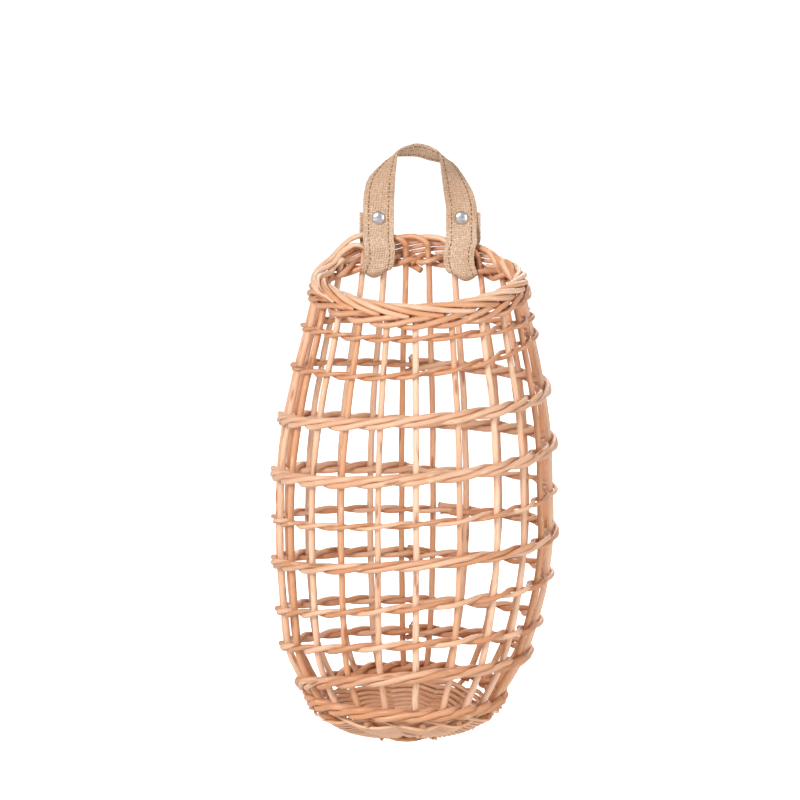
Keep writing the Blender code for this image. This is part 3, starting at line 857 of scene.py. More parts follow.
def willow_rods(node, runs, willow, warp=WARP_AMPLITUDE):
    """A rod of willow in place of a node of the frame, or the rods that it is joined from."""
    piece = grown(path_object(node + "_path", runs), ROD_TREE, {
        "Spacing": RING_SPACING, "Sides": ROD_SIDES, "Warp": warp, "Wobble": WOBBLE_AMPLITUDE,
        "Seed": RANDOM.uniform(*GRAIN_START_SPREAD), "Tone": RANDOM.random(),
        "Willow": willow, "Cut": CUT_WILLOW,
    }, "willow_" + node)
    for face in piece.data.polygons:
        face.use_smooth = len(face.vertices) == SKIN_CORNERS
    stand_in(piece, node)


def stand_in(piece, node):
    """In place of a node of the frame that stays with the basket."""
    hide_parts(node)
    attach(piece, "basket")


def tapered(count, thick, thin):
    """Radii from one end of a rod to the other."""
    return [thick + (thin - thick) * i / (count - 1) for i in range(count)]


# Stakes, each bent over into the rolled border

def at_back(angle):
    """1 at the flat back, 0 at the sides and the front, smooth between."""
    share = min(1.0, max(0.0, (math.sin(math.radians(angle)) - BACK_FROM) / (BACK_TO - BACK_FROM)))
    return share * share * (3.0 - 2.0 * share)


def border_point(index, span):
    """In front the strands roll in, over and out. At the back a stake stands up on the
    inside, goes over the top, and its tail falls slowly along the outside."""
    angle = stake_angle(index + span)
    curl = CURL_TURN * math.exp(-((angle % 360.0 - CURL_ANGLE) / CURL_SPREAD) ** 2)
    curl *= max(0.0, span - CURL_FROM)
    turn = math.radians(BORDER_START - BORDER_TURN * span / BORDER_SPANS - curl)
    out, lift = BORDER_RADIUS * math.cos(turn), BORDER_RADIUS * math.sin(turn)
    over = min(span, BACK_OVER_SPANS)
    turn = math.radians(BACK_START - BACK_TURN * (over / BACK_OVER_SPANS) ** BACK_HASTE)
    back_out = BORDER_RADIUS * math.cos(turn)
    back_lift = BORDER_RADIUS * math.sin(turn) - BACK_TAIL_FALL * (span - over)
    back = at_back(angle)
    out += (back_out - out) * back
    lift += (back_lift - lift) * back
    if index == LOOSE_STAKE:
        lift += LOOSE_LIFT * math.exp(-((span - LOOSE_AT) / LOOSE_SPREAD) ** 2)
    return wall_point(angle, rim_height(angle), out, lift)


def wale_reach(radius):
    """From the middle of a row of three rods to its upper or lower side."""
    return WALE_RISE_SHARE * radius + radius


def foot_level(angle):
    """The foot waling lies level in front and at the sides, and climbs at the back."""
    return FOOT_LIFT + FOOT_BACK_RISE * max(0.0, math.sin(math.radians(angle))) ** RIM_EASE


def base_depth():
    """From the middle of the foot waling down to the middle of the base sticks' ends."""
    return wale_reach(FOOT_RADIUS) + BASE_STICK_SEAT + STACK_CLEARANCE


def foot_centre():
    left, right, front, back = section(0.0)
    return Vector(((right - left) / 2, (back - front) / 2, 0.0))


def make_stake(index):
    angle = stake_angle(index)
    top = rim_height(angle) - BORDER_RADIUS - 2 * STAKE_TIP_RADIUS
    foot = foot_level(angle)
    butt = foot - wale_reach(FOOT_RADIUS)
    points = [wall_point(angle, butt), wall_point(angle, foot)]
    for share in STAKE_SHARES:
        points.append(wall_point(angle, foot + (top - foot) * share))
    bend = border_point(index, 0.0)
    lean = border_point(index, BORDER_CUT_SHARE / 2)
    drop = Vector((0.0, 0.0, STAKE_TIP_RADIUS * BEND_DROP_SHARE))
    points.append(bend.lerp(lean, BEND_LEAN_SHARE) - drop)
    points.extend(border_point(index, step / 2) for step in range(1, 2 * BORDER_SPANS))
    points.append(border_point(index, BORDER_SPANS - BORDER_CUT_SHARE))
    butt_radius = STAKE_BUTT_RADIUS * RANDOM.uniform(*BUTT_SPREAD)
    radii = tapered(len(points), butt_radius, STAKE_TIP_RADIUS)
    for step in range(-2 * BORDER_SPANS, 0):
        span = min(BORDER_SPANS + (step + 1) / 2, BORDER_SPANS - BORDER_CUT_SHARE)
        thinned = min(1.0, max(0.0, (span - BACK_OVER_SPANS / 2) / BACK_OVER_SPANS))
        radii[step] *= 1.0 - thinned * BACK_TAIL_TAPER * at_back(stake_angle(index + span))
    willow_rods(f"stake_{index + 1:02d}", [(points, radii)], STAKE_WILLOW)


# Weaving

def pair_wave(along, radius):
    """A rod of a pair winds in front of one stake and behind the next, rising in front."""
    out = STAKE_BUTT_RADIUS + radius + WEAVE_CLEARANCE
    turn = math.pi * along
    return -out * math.cos(turn), -PAIR_RISE_SHARE * radius * math.sin(turn)


def wale_wave(along, radius, rise_share=WALE_RISE_SHARE):
    """A rod of three rises past the outside of two stakes and falls behind a third."""
    out = STAKE_BUTT_RADIUS + radius + WALE_CLEARANCE
    from_inside = min(1.0, abs((along + 1.5) % 3.0 - 1.5))
    turn = 2.0 * math.pi * along / 3.0
    return -out * math.cos(math.pi * from_inside), -rise_share * radius * math.sin(turn)


def rim_wave(along, radius):
    return wale_wave(along, radius, RIM_WALE_RISE_SHARE)


def woven_points(strands, first, last, order, radius, height, wave):
    """The path of one rod of a row, with its tips crossing those of the rods it joins."""
    start = -order - TIP_SPANS + RANDOM.uniform(*TIP_SPREAD)
    end = last - first + strands - 1 - order + TIP_SPANS + RANDOM.uniform(*TIP_SPREAD)
    steps = round(WAVE_STEPS * (end - start))
    points = []
    for step in range(steps + 1):
        along = start + (end - start) * step / steps
        angle = stake_angle(first + order + along)
        side, rise = wave(along, radius)
        near_start = max(0.0, 1.0 - (along - start) / TIP_SPANS)
        near_end = max(0.0, 1.0 - (end - along) / TIP_SPANS)
        rise += TIP_FALL[order] * near_start ** 2 + TIP_RISE[order] * near_end ** 2
        points.append(wall_point(angle, height(angle) + rise, side))
    return points


def weave(name, strands, first, last, radius, height, willow, wave=None):
    """The two or three rods of a row, from one stake to another, counted on over the turns."""
    wave = wave or (pair_wave if strands == 2 else wale_wave)
    for order in range(strands):
        points = woven_points(strands, first, last, order, radius, height, wave)
        thick = radius * RANDOM.uniform(*THICK_END_SPREAD)
        thin = radius * RANDOM.uniform(*THIN_END_SPREAD)
        run = (points, tapered(len(points), thick, thin))
        willow_rods(f"{name}_{'abc'[order]}", [run], willow)


def make_rows():
    """The spiral of rows up the side, in lengths of rod that follow on from each other."""
    turn = STAKE_COUNT
    left_side = 10
    right_side = 20
    runs = (
        ("row_1_wale", 3, left_side, turn + 2, THICK_RADIUS),
        ("rows_2_3_pair", 2, turn + 5, 3 * turn + 3, MEDIUM_RADIUS),
        ("row_4_wale", 3, 3 * turn + 5, 4 * turn + 1, MEDIUM_RADIUS),
        ("row_5_pair", 2, 4 * turn + 4, 5 * turn + 3, THIN_RADIUS),
        ("rows_6_7_wale", 3, 5 * turn + 5, 7 * turn + 2, THICK_RADIUS),
        ("rows_8_9_pair", 2, 7 * turn + 5, 8 * turn + right_side, THIN_RADIUS),
    )
    for name, strands, first, last, radius in runs:
        weave(name, strands, first, last, radius, spiral_height, WEAVER_WILLOW)


def rim_wale_height(angle):
    below = BORDER_RADIUS + RIM_WALE_RISE_SHARE * RIM_WEAVER_RADIUS
    return rim_height(angle) - below + RIM_WALE_BACK_LIFT * at_back(angle)


def make_walings():
    """Three rods once round the foot, and three tight under the rolled border."""
    weave("foot_wale", 3, 0, STAKE_COUNT - 3, FOOT_RADIUS, foot_level, BASE_WILLOW)
    start = RIM_WALE_START
    weave(
        "rim_wale", 3, start, start + STAKE_COUNT - 3, RIM_WEAVER_RADIUS, rim_wale_height,
        WEAVER_WILLOW, rim_wave,
    )


# Domed base

def base_surface(angle, share):
    centre = foot_centre()
    spot = centre + (outline(angle, foot_level(angle)) - centre) * share
    front = max(0.0, -math.sin(math.radians(angle)))
    drop = BASE_DROP * max(0.0, 1.0 - share ** BASE_CROWN)
    arch = BASE_FRONT_LIFT * front ** 2 * 4 * share * (1.0 - share)
    rise = foot_level(angle) * share ** 2
    return place(spot.x, spot.y, rise + arch - drop - base_depth())


def base_point(angle, share, above=0.0):
    """A place on the dome, or so far above it, square to its surface."""
    step_angle, step_share = 3.0, 0.02
    along = base_surface(angle + step_angle, share) - base_surface(angle - step_angle, share)
    out = base_surface(angle, share + step_share) - base_surface(angle, share - step_share)
    normal = out.cross(along).normalized()
    return base_surface(angle, share) + normal * above


def base_stick_points(number):
    """A stick bent over the dome; the sticks of a group lie side by side in the middle."""
    group, order = divmod(number, BASE_GROUP)
    side = order - (BASE_GROUP - 1) / 2
    pitch = 2 * BASE_STICK_RADIUS + LAYER_GAP
    layer = (BASE_STICK_RADIUS + LAYER_GAP) * (1 if group else -1)
    near = BASE_STICK_ANGLES[(number - 1) % BASE_ENDS]
    opposite = BASE_ENDS // 2 + BASE_GROUP * group
    far = BASE_STICK_ANGLES[(opposite + BASE_GROUP // 2 - order) % BASE_ENDS]
    centre = foot_centre()
    points = [base_point(near, share) for share in BASE_STICK_SHARES]
    middle = BASE_GROUP * pitch / 2
    base = math.radians(90.0 * group)
    c, s = math.cos(base), math.sin(base)
    for along in (middle, -middle):
        x = centre.x + along * c - side * pitch * s
        y = centre.y + along * s + side * pitch * c
        points.append(place(x, y, layer - BASE_DROP - base_depth()))
    points.extend(base_point(far, share) for share in reversed(BASE_STICK_SHARES))
    return points


def make_base_sticks():
    for number in range(2 * BASE_GROUP):
        points = base_stick_points(number)
        run = (points, [BASE_STICK_RADIUS] * len(points))
        willow_rods(f"base_stick_{number + 1}", [run], BASE_WILLOW)


def base_run(order, start, end):
    """One length of rod in the spiral of the bottom: its points and its radii."""
    left, right, front = section(0.0)[:3]
    mean_radius = (left + right + front) / 3
    points, radii = [], []
    steps = round(BASE_WAVE_STEPS * (end - start))
    for step in range(steps + 1):
        along = start + (end - start) * step / steps
        angle = ring_angle(BASE_STICK_ANGLES, order + along)
        share = (order + along) / (BASE_TURNS * BASE_ENDS)
        radius = float(numpy.interp(share, BASE_ROD_SHARES, BASE_ROD_RADII))
        radius *= 1.0 + BASE_BACK_SWELL * max(0.0, math.sin(math.radians(angle)))
        side = BASE_RISE_SHARE * radius * math.sin(math.pi * along)
        lift = (BASE_STICK_RADIUS + radius) * math.cos(math.pi * along)
        lift *= float(numpy.interp(share, BASE_ROD_SHARES, BASE_LIFT_SHARES))
        near_end = max(0.0, 1.0 - min(along - start, end - along) / BASE_END_SPANS)
        lift -= BASE_END_DROP * near_end ** 2
        out = BASE_FIRST_SHARE + (BASE_LAST_SHARE - BASE_FIRST_SHARE) * share
        points.append(base_point(angle, out + side / mean_radius, lift))
        radii.append(radius)
    return points, radii


def make_base_weavers():
    """Thin rods twined round the fanned sticks, in one close spiral from the middle out."""
    total = BASE_TURNS * BASE_ENDS
    for order in range(2):
        runs = []
        start = 0.0
        while start < total - BASE_RUN / 2:
            end = min(total, start + BASE_RUN * RANDOM.uniform(*BASE_RUN_SPREAD))
            if total - end < BASE_RUN / 2:
                end = total
            runs.append(base_run(order, start, end))
            start = end - BASE_END_SPANS
        willow_rods(f"base_weaver_{'ab'[order]}", runs, BASE_WILLOW, BASE_WARP)


# Strap: one band of webbing, from its left tail down round the rim, over the arch and on

def back_wall(x):
    """How far back the rim's middle lies, and how high, at a place across the back."""
    spots = [(outline(angle, rim_height(angle)), rim_height(angle)) for angle in BACK_ANGLES]
    spots = [(spot.x - BODY_SIDE_STEP, spot.y - BODY_SETBACK, rim) for spot, rim in spots]
    across = [spot[0] for spot in spots]
    wall = numpy.interp(x, across, [spot[1] for spot in spots])
    return float(wall), float(numpy.interp(x, across, [spot[2] for spot in spots])) - HANG_HEIGHT


def gap_between(first, second):
    """Middle of the space between two back stakes, just under the rim."""
    height = rim_height(90.0) - BORDER_RADIUS
    spots = [outline(stake_angle(i), height).x for i in (first, second)]
    return sum(spots) / 2 - BODY_SIDE_STEP


def loop_stations(x_leg, x_gap, sway):
    """From the hinge down in front of the rim, under it, and up behind it to the tail:
    middle, width, how far it follows the wall, and how far its middle bulges out."""
    half = STRAP_THICKNESS / 2
    wall, rim = back_wall(x_gap)
    reach = BORDER_RADIUS + STAKE_TIP_RADIUS + LOOP_CLEARANCE + half
    front, back = wall - reach, wall + reach
    wale = BORDER_RADIUS + (2 * RIM_WALE_RISE_SHARE + 1) * RIM_WEAVER_RADIUS
    low = rim - wale + RIM_WALE_BACK_LIFT
    bottom = low - LOOP_CLEARANCE - half - LOOP_HANG
    rivet = -RIVET_BELOW_SEAT
    x_tail = x_leg + math.copysign(TAIL_SHIFT, x_leg)
    layer = STRAP_THICKNESS + LAYER_GAP
    full, tight = STRAP_WIDTH, STRAP_WIDTH * GATHERED_SHARE
    mid_x = (x_leg + x_gap) / 2
    flat = rivet - FLAT_BELOW_RIVET
    at_rim, below_rim, at_wale, at_turn = (sway * share for share in SWAY_SHARES)
    wale_bulge, front_bulge, back_bulge = (BULGE * share for share in BULGE_SHARES)

    def side_path(x_top, near, far):
        path = [
            (x_top, near, rivet + FLAT_BELOW_RIVET / 2, full, 0.0, 0.0),
            (x_top, near, rivet, full, 0.0, 0.0),
        ]
        for depth, fall, follow in LOOP_SIDE_SHARES:
            y, z = near + (far - near) * depth, flat + (rim - flat) * fall
            path.append((x_top, y, z, full, follow, 0.0))
        return path + [
            (x_top + at_rim, far, rim, full, 1.0, 0.0),
            (x_top + below_rim, far, (rim + low) / 2, full, 1.0, 0.0),
            (mid_x + at_wale, far, low + half * LOOP_EASE, full, 1.0, wale_bulge),
        ]

    span = back - front
    turn = span * LOOP_TURN_SHARE
    front_width, back_width = (full * share for share in LOOP_TURN_WIDTHS)
    under = [(x_gap + at_turn, front + turn, low, front_width, 1.0, front_bulge)]
    for depth, rise, width, follow in LOOP_UNDER_SHARES:
        y, z = front + span * depth, bottom + half * rise
        under.append((x_gap, y, z, tight * width, follow, BULGE))
    under.append((x_gap, back - turn, low, back_width, 1.0, back_bulge))
    tail = side_path(x_tail, layer, back)[1:]
    tail_end = (x_tail, layer, rivet + TAIL_ABOVE_RIVET, full, 0.0, 0.0)
    return side_path(x_leg, 0.0, front) + under + list(reversed(tail)) + [tail_end]


def arch_stations():
    """The free arch, from its outer and inner edge as they look from the front. What an
    edge gives up in that view it gains in depth, so the webbing keeps its width."""
    view = math.radians(VIEW_ELEVATION)
    edges = ARCH_LEFT_EDGES + tuple(reversed(ARCH_RIGHT_EDGES[:-1]))
    stations = []
    for outer_x, outer_rise, inner_x, inner_rise in edges:
        seen = Vector((inner_x - outer_x, inner_rise - outer_rise)).length
        depth = math.sqrt(max(0.0, STRAP_WIDTH ** 2 - seen ** 2))
        middle_rise = (outer_rise + inner_rise) / 2
        ends = []
        for x, rise, side in ((outer_x, outer_rise, 0.5), (inner_x, inner_rise, -0.5)):
            away = side * depth - middle_rise * math.tan(view)
            ends.append(Vector((
                x,
                rise * math.sin(view) + away * math.cos(view),
                rise * math.cos(view) - away * math.sin(view),
            )))
        outer, inner = ends
        stations.append(((outer + inner) / 2, (inner - outer).normalized()))
    return stations


def loop_rails(stations, across):
    """Five points across the webbing at each station of a loop."""
    rails = []
    for i, (x, y, z, width, follow, bulge) in enumerate(stations):
        before, after = stations[max(i - 1, 0)], stations[min(i + 1, len(stations) - 1)]
        along = Vector((0.0, after[1] - before[1], after[2] - before[2])).normalized()
        outward_side = Vector((0.0, along.z, -along.y)).normalized()
        wall = back_wall(x)[0]
        row = []
        for share in RAIL_SHARES:
            spot = Vector((x, y, z)) + across * (share * width / 2)
            spot.y += follow * (back_wall(spot.x)[0] - wall)
            spot += outward_side * bulge * (1.0 - 2.0 * share * share)
            row.append(spot)
        rails.append(row)
    return rails


def band_rails():
    """Five points across the webbing at each station, from one tail to the other."""
    right_way = Vector((1.0, 0.0, 0.0))
    left = loop_rails(loop_stations(STRAP_LEFT, gap_between(*LEFT_GAP), LEFT_SWAY), right_way)
    right = loop_rails(loop_stations(STRAP_RIGHT, gap_between(*RIGHT_GAP), RIGHT_SWAY), -right_way)
    arch = [
        [middle + across * (share * STRAP_WIDTH / 2) for share in RAIL_SHARES]
        for middle, across in arch_stations()
    ]
    return list(reversed(left)) + arch + right


def curve_through(points, shares):
    """Places on a smooth curve through rows of points, at shares from 0 to the last row."""
    rows = numpy.array(points, dtype=float)
    last = len(rows) - 1
    low = numpy.clip(numpy.floor(shares).astype(int), 0, last - 1)
    t = (shares - low).reshape((-1,) + (1,) * (rows.ndim - 1))
    before, after = numpy.clip(low - 1, 0, last), numpy.clip(low + 2, 0, last)
    a, b, c, d = rows[before], rows[low], rows[low + 1], rows[after]
    return 0.5 * (
        2 * b + (c - a) * t + (2 * a - 5 * b + 4 * c - d) * t ** 2
        + (3 * b - 3 * c + d - a) * t ** 3
    )


def band_surface():
    """The middle of the webbing as an even grid: places, normals, and the two lengths."""
    rails = band_rails()
    fine = numpy.linspace(0.0, len(rails) - 1.0, RAIL_STEPS * len(rails))
    middle = curve_through([row[len(RAIL_SHARES) // 2] for row in rails], fine)
    steps = numpy.linalg.norm(numpy.diff(middle, axis=0), axis=1)
    length = numpy.concatenate(([0.0], numpy.cumsum(steps)))
    count = round(length[-1] / CLOTH_STEP) + 1
    along = numpy.linspace(0.0, length[-1], count)
    spots = [[list(spot) for spot in row] for row in rails]
    rows = curve_through(spots, numpy.interp(along, length, fine))
    sides = round(STRAP_WIDTH / CLOTH_STEP) + 1
    across = numpy.linspace(-STRAP_WIDTH / 2, STRAP_WIDTH / 2, sides)
    shares = numpy.interp(across / (STRAP_WIDTH / 2), RAIL_SHARES, range(len(RAIL_SHARES)))
    grid = curve_through(rows.transpose(1, 0, 2), shares).transpose(1, 0, 2)
    normal = numpy.cross(numpy.gradient(grid, axis=0), numpy.gradient(grid, axis=1))
    normal /= numpy.linalg.norm(normal, axis=2, keepdims=True)
    return grid, normal, along, across


def weave_height(along, across, flip):
    """Plain weave of thick yarns: 1 on the crown of a yarn and 0 in the hollows."""
    bend = WANDER_BEND * numpy.sin(along * WANDER_SLOW)
    wander = YARN_WANDER * numpy.sin(along * WANDER_ALONG + bend)[:, None]
    drift = YARN_WANDER * numpy.sin(across * WANDER_ACROSS + WANDER_START)[None, :]
    turn_along = along[:, None] / YARN_PITCH + drift
    turn_across = across[None, :] / YARN_PITCH + wander
    parity = (numpy.floor(turn_along) + numpy.floor(turn_across) + flip) % 2
    bow_along, bow_across = (
        numpy.cos(numpy.pi * (turn % 1.0 - 0.5)) ** YARN_ROUNDNESS for turn in (turn_along, turn_across)
    )
    warp = bow_across * (1.0 - YARN_DIP + YARN_DIP * bow_along)
    weft = bow_along * (1.0 - YARN_DIP + YARN_DIP * bow_across)
    return numpy.where(parity < 0.5, warp, weft)


def webbing_layers(surface):
    """Both faces of the webbing with their yarns raised and their edges frayed, and how
    high each point lies on its yarn."""
    grid, normal, along, across = surface
    size = grid.shape[:2]
    share = numpy.abs(across) / (STRAP_WIDTH / 2)
    edge = numpy.sqrt(numpy.clip(1.0 - share ** CLOTH_EDGE_SQUARENESS, 0.0, 1.0))[None, :]
    seam = numpy.exp(-((numpy.abs(across) - SEAM_SIDE) / SEAM_GROOVE) ** 2)[None, :]
    shaggy = numpy.random.default_rng(WEBBING_SEED)
    layers, heights = [], []
    for flip, side in ((0, 1.0), (1, -1.0)):
        uneven = 1.0 - YARN_SPREAD / 2 + YARN_SPREAD * shaggy.random(size)
        height = weave_height(along, across, flip) * uneven
        sunk = YARN_RELIEF * (1.0 - height) + SEAM_DEPTH * seam
        thick = numpy.clip(STRAP_THICKNESS / 2 - sunk, CLOTH_LEAST, None) * edge
        layers.append(grid + normal * (side * thick)[:, :, None])
        heights.append(height)
    fray = shaggy.normal(0.0, EDGE_FRAY, (size[0], 2))
    for layer in layers:
        for column, near, pick in ((0, 1, 0), (-1, -2, 1)):
            out = layer[:, column] - layer[:, near]
            out /= numpy.linalg.norm(out, axis=1, keepdims=True)
            layer[:, column] += out * fray[:, pick:pick + 1]
    return layers, heights


def webbing_faces(rows, columns):
    """Faces of two layers of a grid, the first turned over, with their edges joined."""
    count = rows * columns
    faces = []
    for i in range(rows - 1):
        for j in range(columns - 1):
            a = i * columns + j
            face = (a, a + 1, a + columns + 1, a + columns)
            faces.append(face[::-1])
            faces.append(tuple(corner + count for corner in face))
        a, b = i * columns, (i + 1) * columns
        faces.append((a, b, b + count, a + count))
        a, b = a + columns - 1, b + columns - 1
        faces.append((b, a, a + count, b + count))
    for j in range(columns - 1):
        k = count - columns + j
        faces.append((j + 1, j, j + count, j + 1 + count))
        faces.append((k, k + 1, k + 1 + count, k + count))
    return faces


def store(mesh, name, kind, field, values):
    mesh.attributes.new(name, kind, "POINT").data.foreach_set(field, numpy.ravel(values))


def make_webbing(surface):
    """The whole band as one piece, and its length."""
    grid, _normal, along, across = surface
    rows, columns = grid.shape[:2]
    layers, heights = webbing_layers(surface)
    mesh = bpy.data.meshes.new("strap_webbing")
    verts = numpy.concatenate([layer.reshape(-1, 3) for layer in layers])
    mesh.from_pydata(verts.tolist(), [], webbing_faces(rows, columns))
    grain = numpy.zeros((2, rows, columns, 3))
    grain[:, :, :, 0] = along[None, :, None]
    grain[:, :, :, 1] = across[None, None, :]
    grain[1, :, :, 0] += STRAP_WIDTH
    # Painted shade down both legs, by distance from the top of the arch
    leg_shade = numpy.interp(numpy.abs(along - along[-1] / 2), *zip(*LEG_SHADE_SHARES))
    leg_shade = numpy.broadcast_to(leg_shade[None, :, None], (2, rows, columns))
    store(mesh, "grain", "FLOAT_VECTOR", "vector", grain)
    store(mesh, "yarn_height", "FLOAT", "value", heights)
    store(mesh, "leg_shade", "FLOAT", "value", leg_shade)
    mesh.shade_smooth()
    mesh.materials.append(WEBBING)
    obj = new_object("strap_webbing", mesh)
    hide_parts("strap_arch", "strap_loop_left", "strap_loop_right")
    bend_at_hinge(obj)
    return obj, float(along[-1])


def bend_at_hinge(obj):
    """Bakes its placement into its mesh."""
    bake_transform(obj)


def stitch_tree():
    """Stitches set along a seam's path, each a little bar that lies along it."""
    tree = Tree(
        "seam_stitches", Pitch=float, Length=float, Radius=float, Thread=bpy.types.Material,
    )
    given = tree.given
    ball = {"Segments": STITCH_SIDES, "Rings": STITCH_RINGS, "Radius": 1.0}
    bar = {
        "Geometry": tree.first("GeometryNodeMeshUVSphere", None, ball),
        "Scale": tree.vector(given["Radius"], given["Radius"], given["Length"]),
    }
    turn = tree.first(
        "FunctionNodeAlignRotationToVector", {"axis": "Z"},
        {"Vector": tree.first("GeometryNodeInputTangent")},
    )
    uneven = tree.node(
        "FunctionNodeRandomValue", {"data_type": "FLOAT"}, dict(zip((2, 3), STITCH_SPREAD)),
    ).outputs[1]
    placed = tree.first("GeometryNodeInstanceOnPoints", None, {
        "Points": tree.even_curve(given["Geometry"], given["Pitch"]),
        "Instance": tree.first("GeometryNodeTransform", None, bar),
        "Rotation": turn, "Scale": uneven,
    })
    placed = tree.first("GeometryNodeRealizeInstances", None, {"Geometry": placed})
    placed = tree.painted(placed, given["Thread"])
    return tree.ends_in(tree.first("GeometryNodeSetShadeSmooth", None, {"Geometry": placed}))


def make_seams(surface):
    """Two seams, one along each edge, with their stitches on both faces."""
    grid, normal, _along, across = surface
    tree = stitch_tree()
    sizes = {
        "Pitch": STITCH_PITCH, "Length": STITCH_LENGTH / 2, "Radius": STITCH_RADIUS,
        "Thread": THREAD,
    }
    seams = []
    inset = round(SEAM_END / CLOTH_STEP)
    for name, place_across in (("outer", -SEAM_SIDE), ("inner", SEAM_SIDE)):
        column = int(numpy.argmin(numpy.abs(across - place_across)))
        for face, side in (("top", 1.0), ("under", -1.0)):
            lifted = side * (STRAP_THICKNESS / 2 - SEAM_DEPTH)
            path = grid[:, column] + normal[:, column] * lifted
            path = path[inset:-inset:SEAM_PATH_STEP]
            run = (path, [1.0] * len(path))
            piece = grown(path_object("seam_path", [run]), tree, sizes, f"seam_{name}_{face}")
            bend_at_hinge(piece)
            seams.append(piece)
    return seams


def rivet_profile():
    """Radius and depth along a rivet, from the top of its cap to the middle of its back."""
    half = STRAP_THICKNESS / 2
    front, back = -half, 3 * half + LAYER_GAP
    profile = [(0.0, front - RIVET_CAP_HEIGHT)]
    for step in range(1, RIVET_DOME_STEPS + 1):
        turn = math.radians(90.0 * step / RIVET_DOME_STEPS)
        rise = RIVET_CAP_HEIGHT * math.cos(turn) ** RIVET_DOME_FULLNESS
        profile.append((RIVET_CAP_RADIUS * math.sin(turn), front - rise))
    lip_share, lip_depth = RIVET_LIP_SHARES
    lip = front + half * lip_depth
    head = RIVET_CAP_RADIUS * RIVET_HEAD_SHARE
    return profile + [
        (RIVET_CAP_RADIUS * lip_share, lip), (RIVET_POST_RADIUS, lip), (RIVET_POST_RADIUS, back),
        (head, back), (head, back + half / 2), (head * RIVET_HEAD_EDGE, back + half),
        (0.0, back + half),
    ]


def make_rivet(node, x):
    """A domed cap in front, a post through both layers, and a flat head behind."""
    profile = rivet_profile()
    verts, faces = [], []
    for radius, y in profile:
        for i in range(RIVET_SIDES):
            turn = 2.0 * math.pi * i / RIVET_SIDES
            across, up = radius * math.cos(turn), radius * math.sin(turn)
            verts.append((x + across, y, up - RIVET_BELOW_SEAT))
    for ring in range(len(profile) - 1):
        a, b = ring * RIVET_SIDES, (ring + 1) * RIVET_SIDES
        for i in range(RIVET_SIDES):
            j = (i + 1) % RIVET_SIDES
            faces.append((a + i, b + i, b + j, a + j))
    mesh = bpy.data.meshes.new(node)
    mesh.from_pydata(verts, [], faces)
    bm = bmesh.new()
    bm.from_mesh(mesh)
    bmesh.ops.remove_doubles(bm, verts=bm.verts, dist=MERGE_DISTANCE)
    bmesh.ops.recalc_face_normals(bm, faces=bm.faces)
    bm.to_mesh(mesh)
    bm.free()
    mesh.shade_smooth()
    mesh.set_sharp_from_angle(angle=math.radians(SHARP_ANGLE))
    mesh.materials.append(STEEL)
    stand_in(new_object("steel_" + node, mesh), node)


def make_strap():
    surface = band_surface()
    webbing, length = make_webbing(surface)
    seams = make_seams(surface)
    make_rivet("rivet_left", STRAP_LEFT)
    make_rivet("rivet_right", STRAP_RIGHT)


for stake_index in range(STAKE_COUNT):
    make_stake(stake_index)
make_rows()
make_walings()
make_base_sticks()
make_base_weavers()
make_strap()


# Studio

def floor_paper():
    """Pale paper that glows a little to the camera alone, so that it comes out white."""
    paint = Paint("floor_paper", roughness=FLOOR_ROUGHNESS)
    paint.colour((FLOOR_GREY, FLOOR_GREY, FLOOR_GREY, 1.0))
    seen = paint.node("ShaderNodeLightPath").outputs["Is Camera Ray"]
    strength = paint.maths("MULTIPLY", seen, FLOOR_GLOW)
    glow = paint.first("ShaderNodeEmission", None, {"Strength": strength})
    both = paint.first("ShaderNodeAddShader", None, {0: paint.shader.outputs[0], 1: glow})
    paint.feed(paint.tree.nodes["Material Output"].inputs["Surface"], both)
    return paint.material


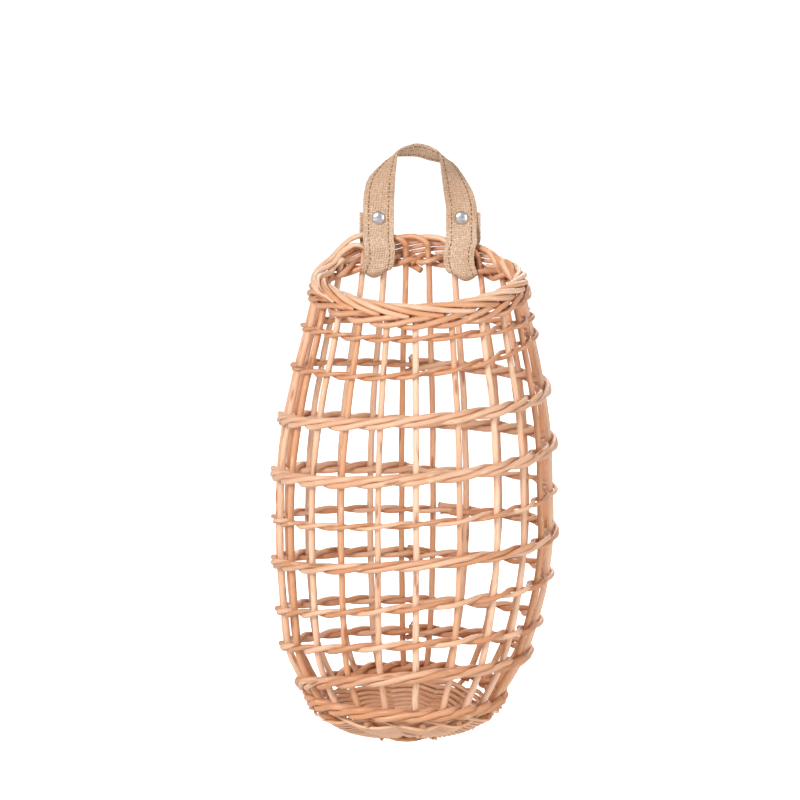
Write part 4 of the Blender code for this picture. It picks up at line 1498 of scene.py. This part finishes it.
def make_stage():
    bm = bmesh.new()
    bmesh.ops.create_grid(bm, x_segments=1, y_segments=1, size=FLOOR_SIZE)
    mesh = bpy.data.meshes.new("floor")
    bm.to_mesh(mesh)
    bm.free()
    mesh.materials.append(floor_paper())
    floor = new_object("floor", mesh)
    floor.location = (0.0, FLOOR_SIZE / 3, FLOOR_LEVEL)


def area_light(name, location, size, power):
    light = bpy.data.lights.new(name, "AREA")
    light.shape = "RECTANGLE"
    light.size, light.size_y = size
    light.energy = power
    obj = new_object(name, light)
    obj.location = location
    direction = Vector(LIGHT_AIM) - Vector(location)
    obj.rotation_euler = direction.to_track_quat("-Z", "Y").to_euler()


def make_world():
    """White to the camera, and a softer light on the object."""
    world = bpy.data.worlds.new("studio")
    bpy.context.scene.world = world
    world.use_nodes = True
    nodes = Nodes(world.node_tree)
    ground = nodes.tree.nodes["Background"].inputs
    rays = nodes.node("ShaderNodeLightPath").outputs
    seen = nodes.maths("MAXIMUM", rays["Is Camera Ray"], rays["Is Transmission Ray"])
    level = {"Value": seen, "To Min": WORLD_LIGHT, "To Max": 1.0}
    nodes.feed(ground["Color"], (1.0, 1.0, 1.0, 1.0))
    nodes.feed(ground["Strength"], nodes.first("ShaderNodeMapRange", None, level))


def make_camera():
    """The photo's view, with the seat under the strap at its own pixel."""
    elevation = math.radians(VIEW_ELEVATION)
    metres_across = METRES_PER_PIXEL * PHOTO_PIXELS
    data = bpy.data.cameras.new("camera")
    data.sensor_width = SENSOR_WIDTH
    data.lens = SENSOR_WIDTH * CAMERA_DISTANCE / metres_across
    camera = new_object("camera", data)
    up = Vector((0.0, math.sin(elevation), math.cos(elevation)))
    into = Vector((0.0, math.cos(elevation), -math.sin(elevation)))
    right, down = (METRES_PER_PIXEL * (PHOTO_PIXELS / 2 - pixel) for pixel in SEAT_PIXEL)
    aim = Vector((right, 0.0, 0.0)) - up * down
    camera.location = aim - into * CAMERA_DISTANCE
    camera.rotation_euler = into.to_track_quat("-Z", "Y").to_euler()
    bpy.context.scene.camera = camera


make_stage()
make_world()
for light_name, light_place, light_size, light_power in LIGHTS:
    area_light(light_name, light_place, light_size, light_power)
make_camera()
bpy.context.scene.view_settings.view_transform = "Standard"
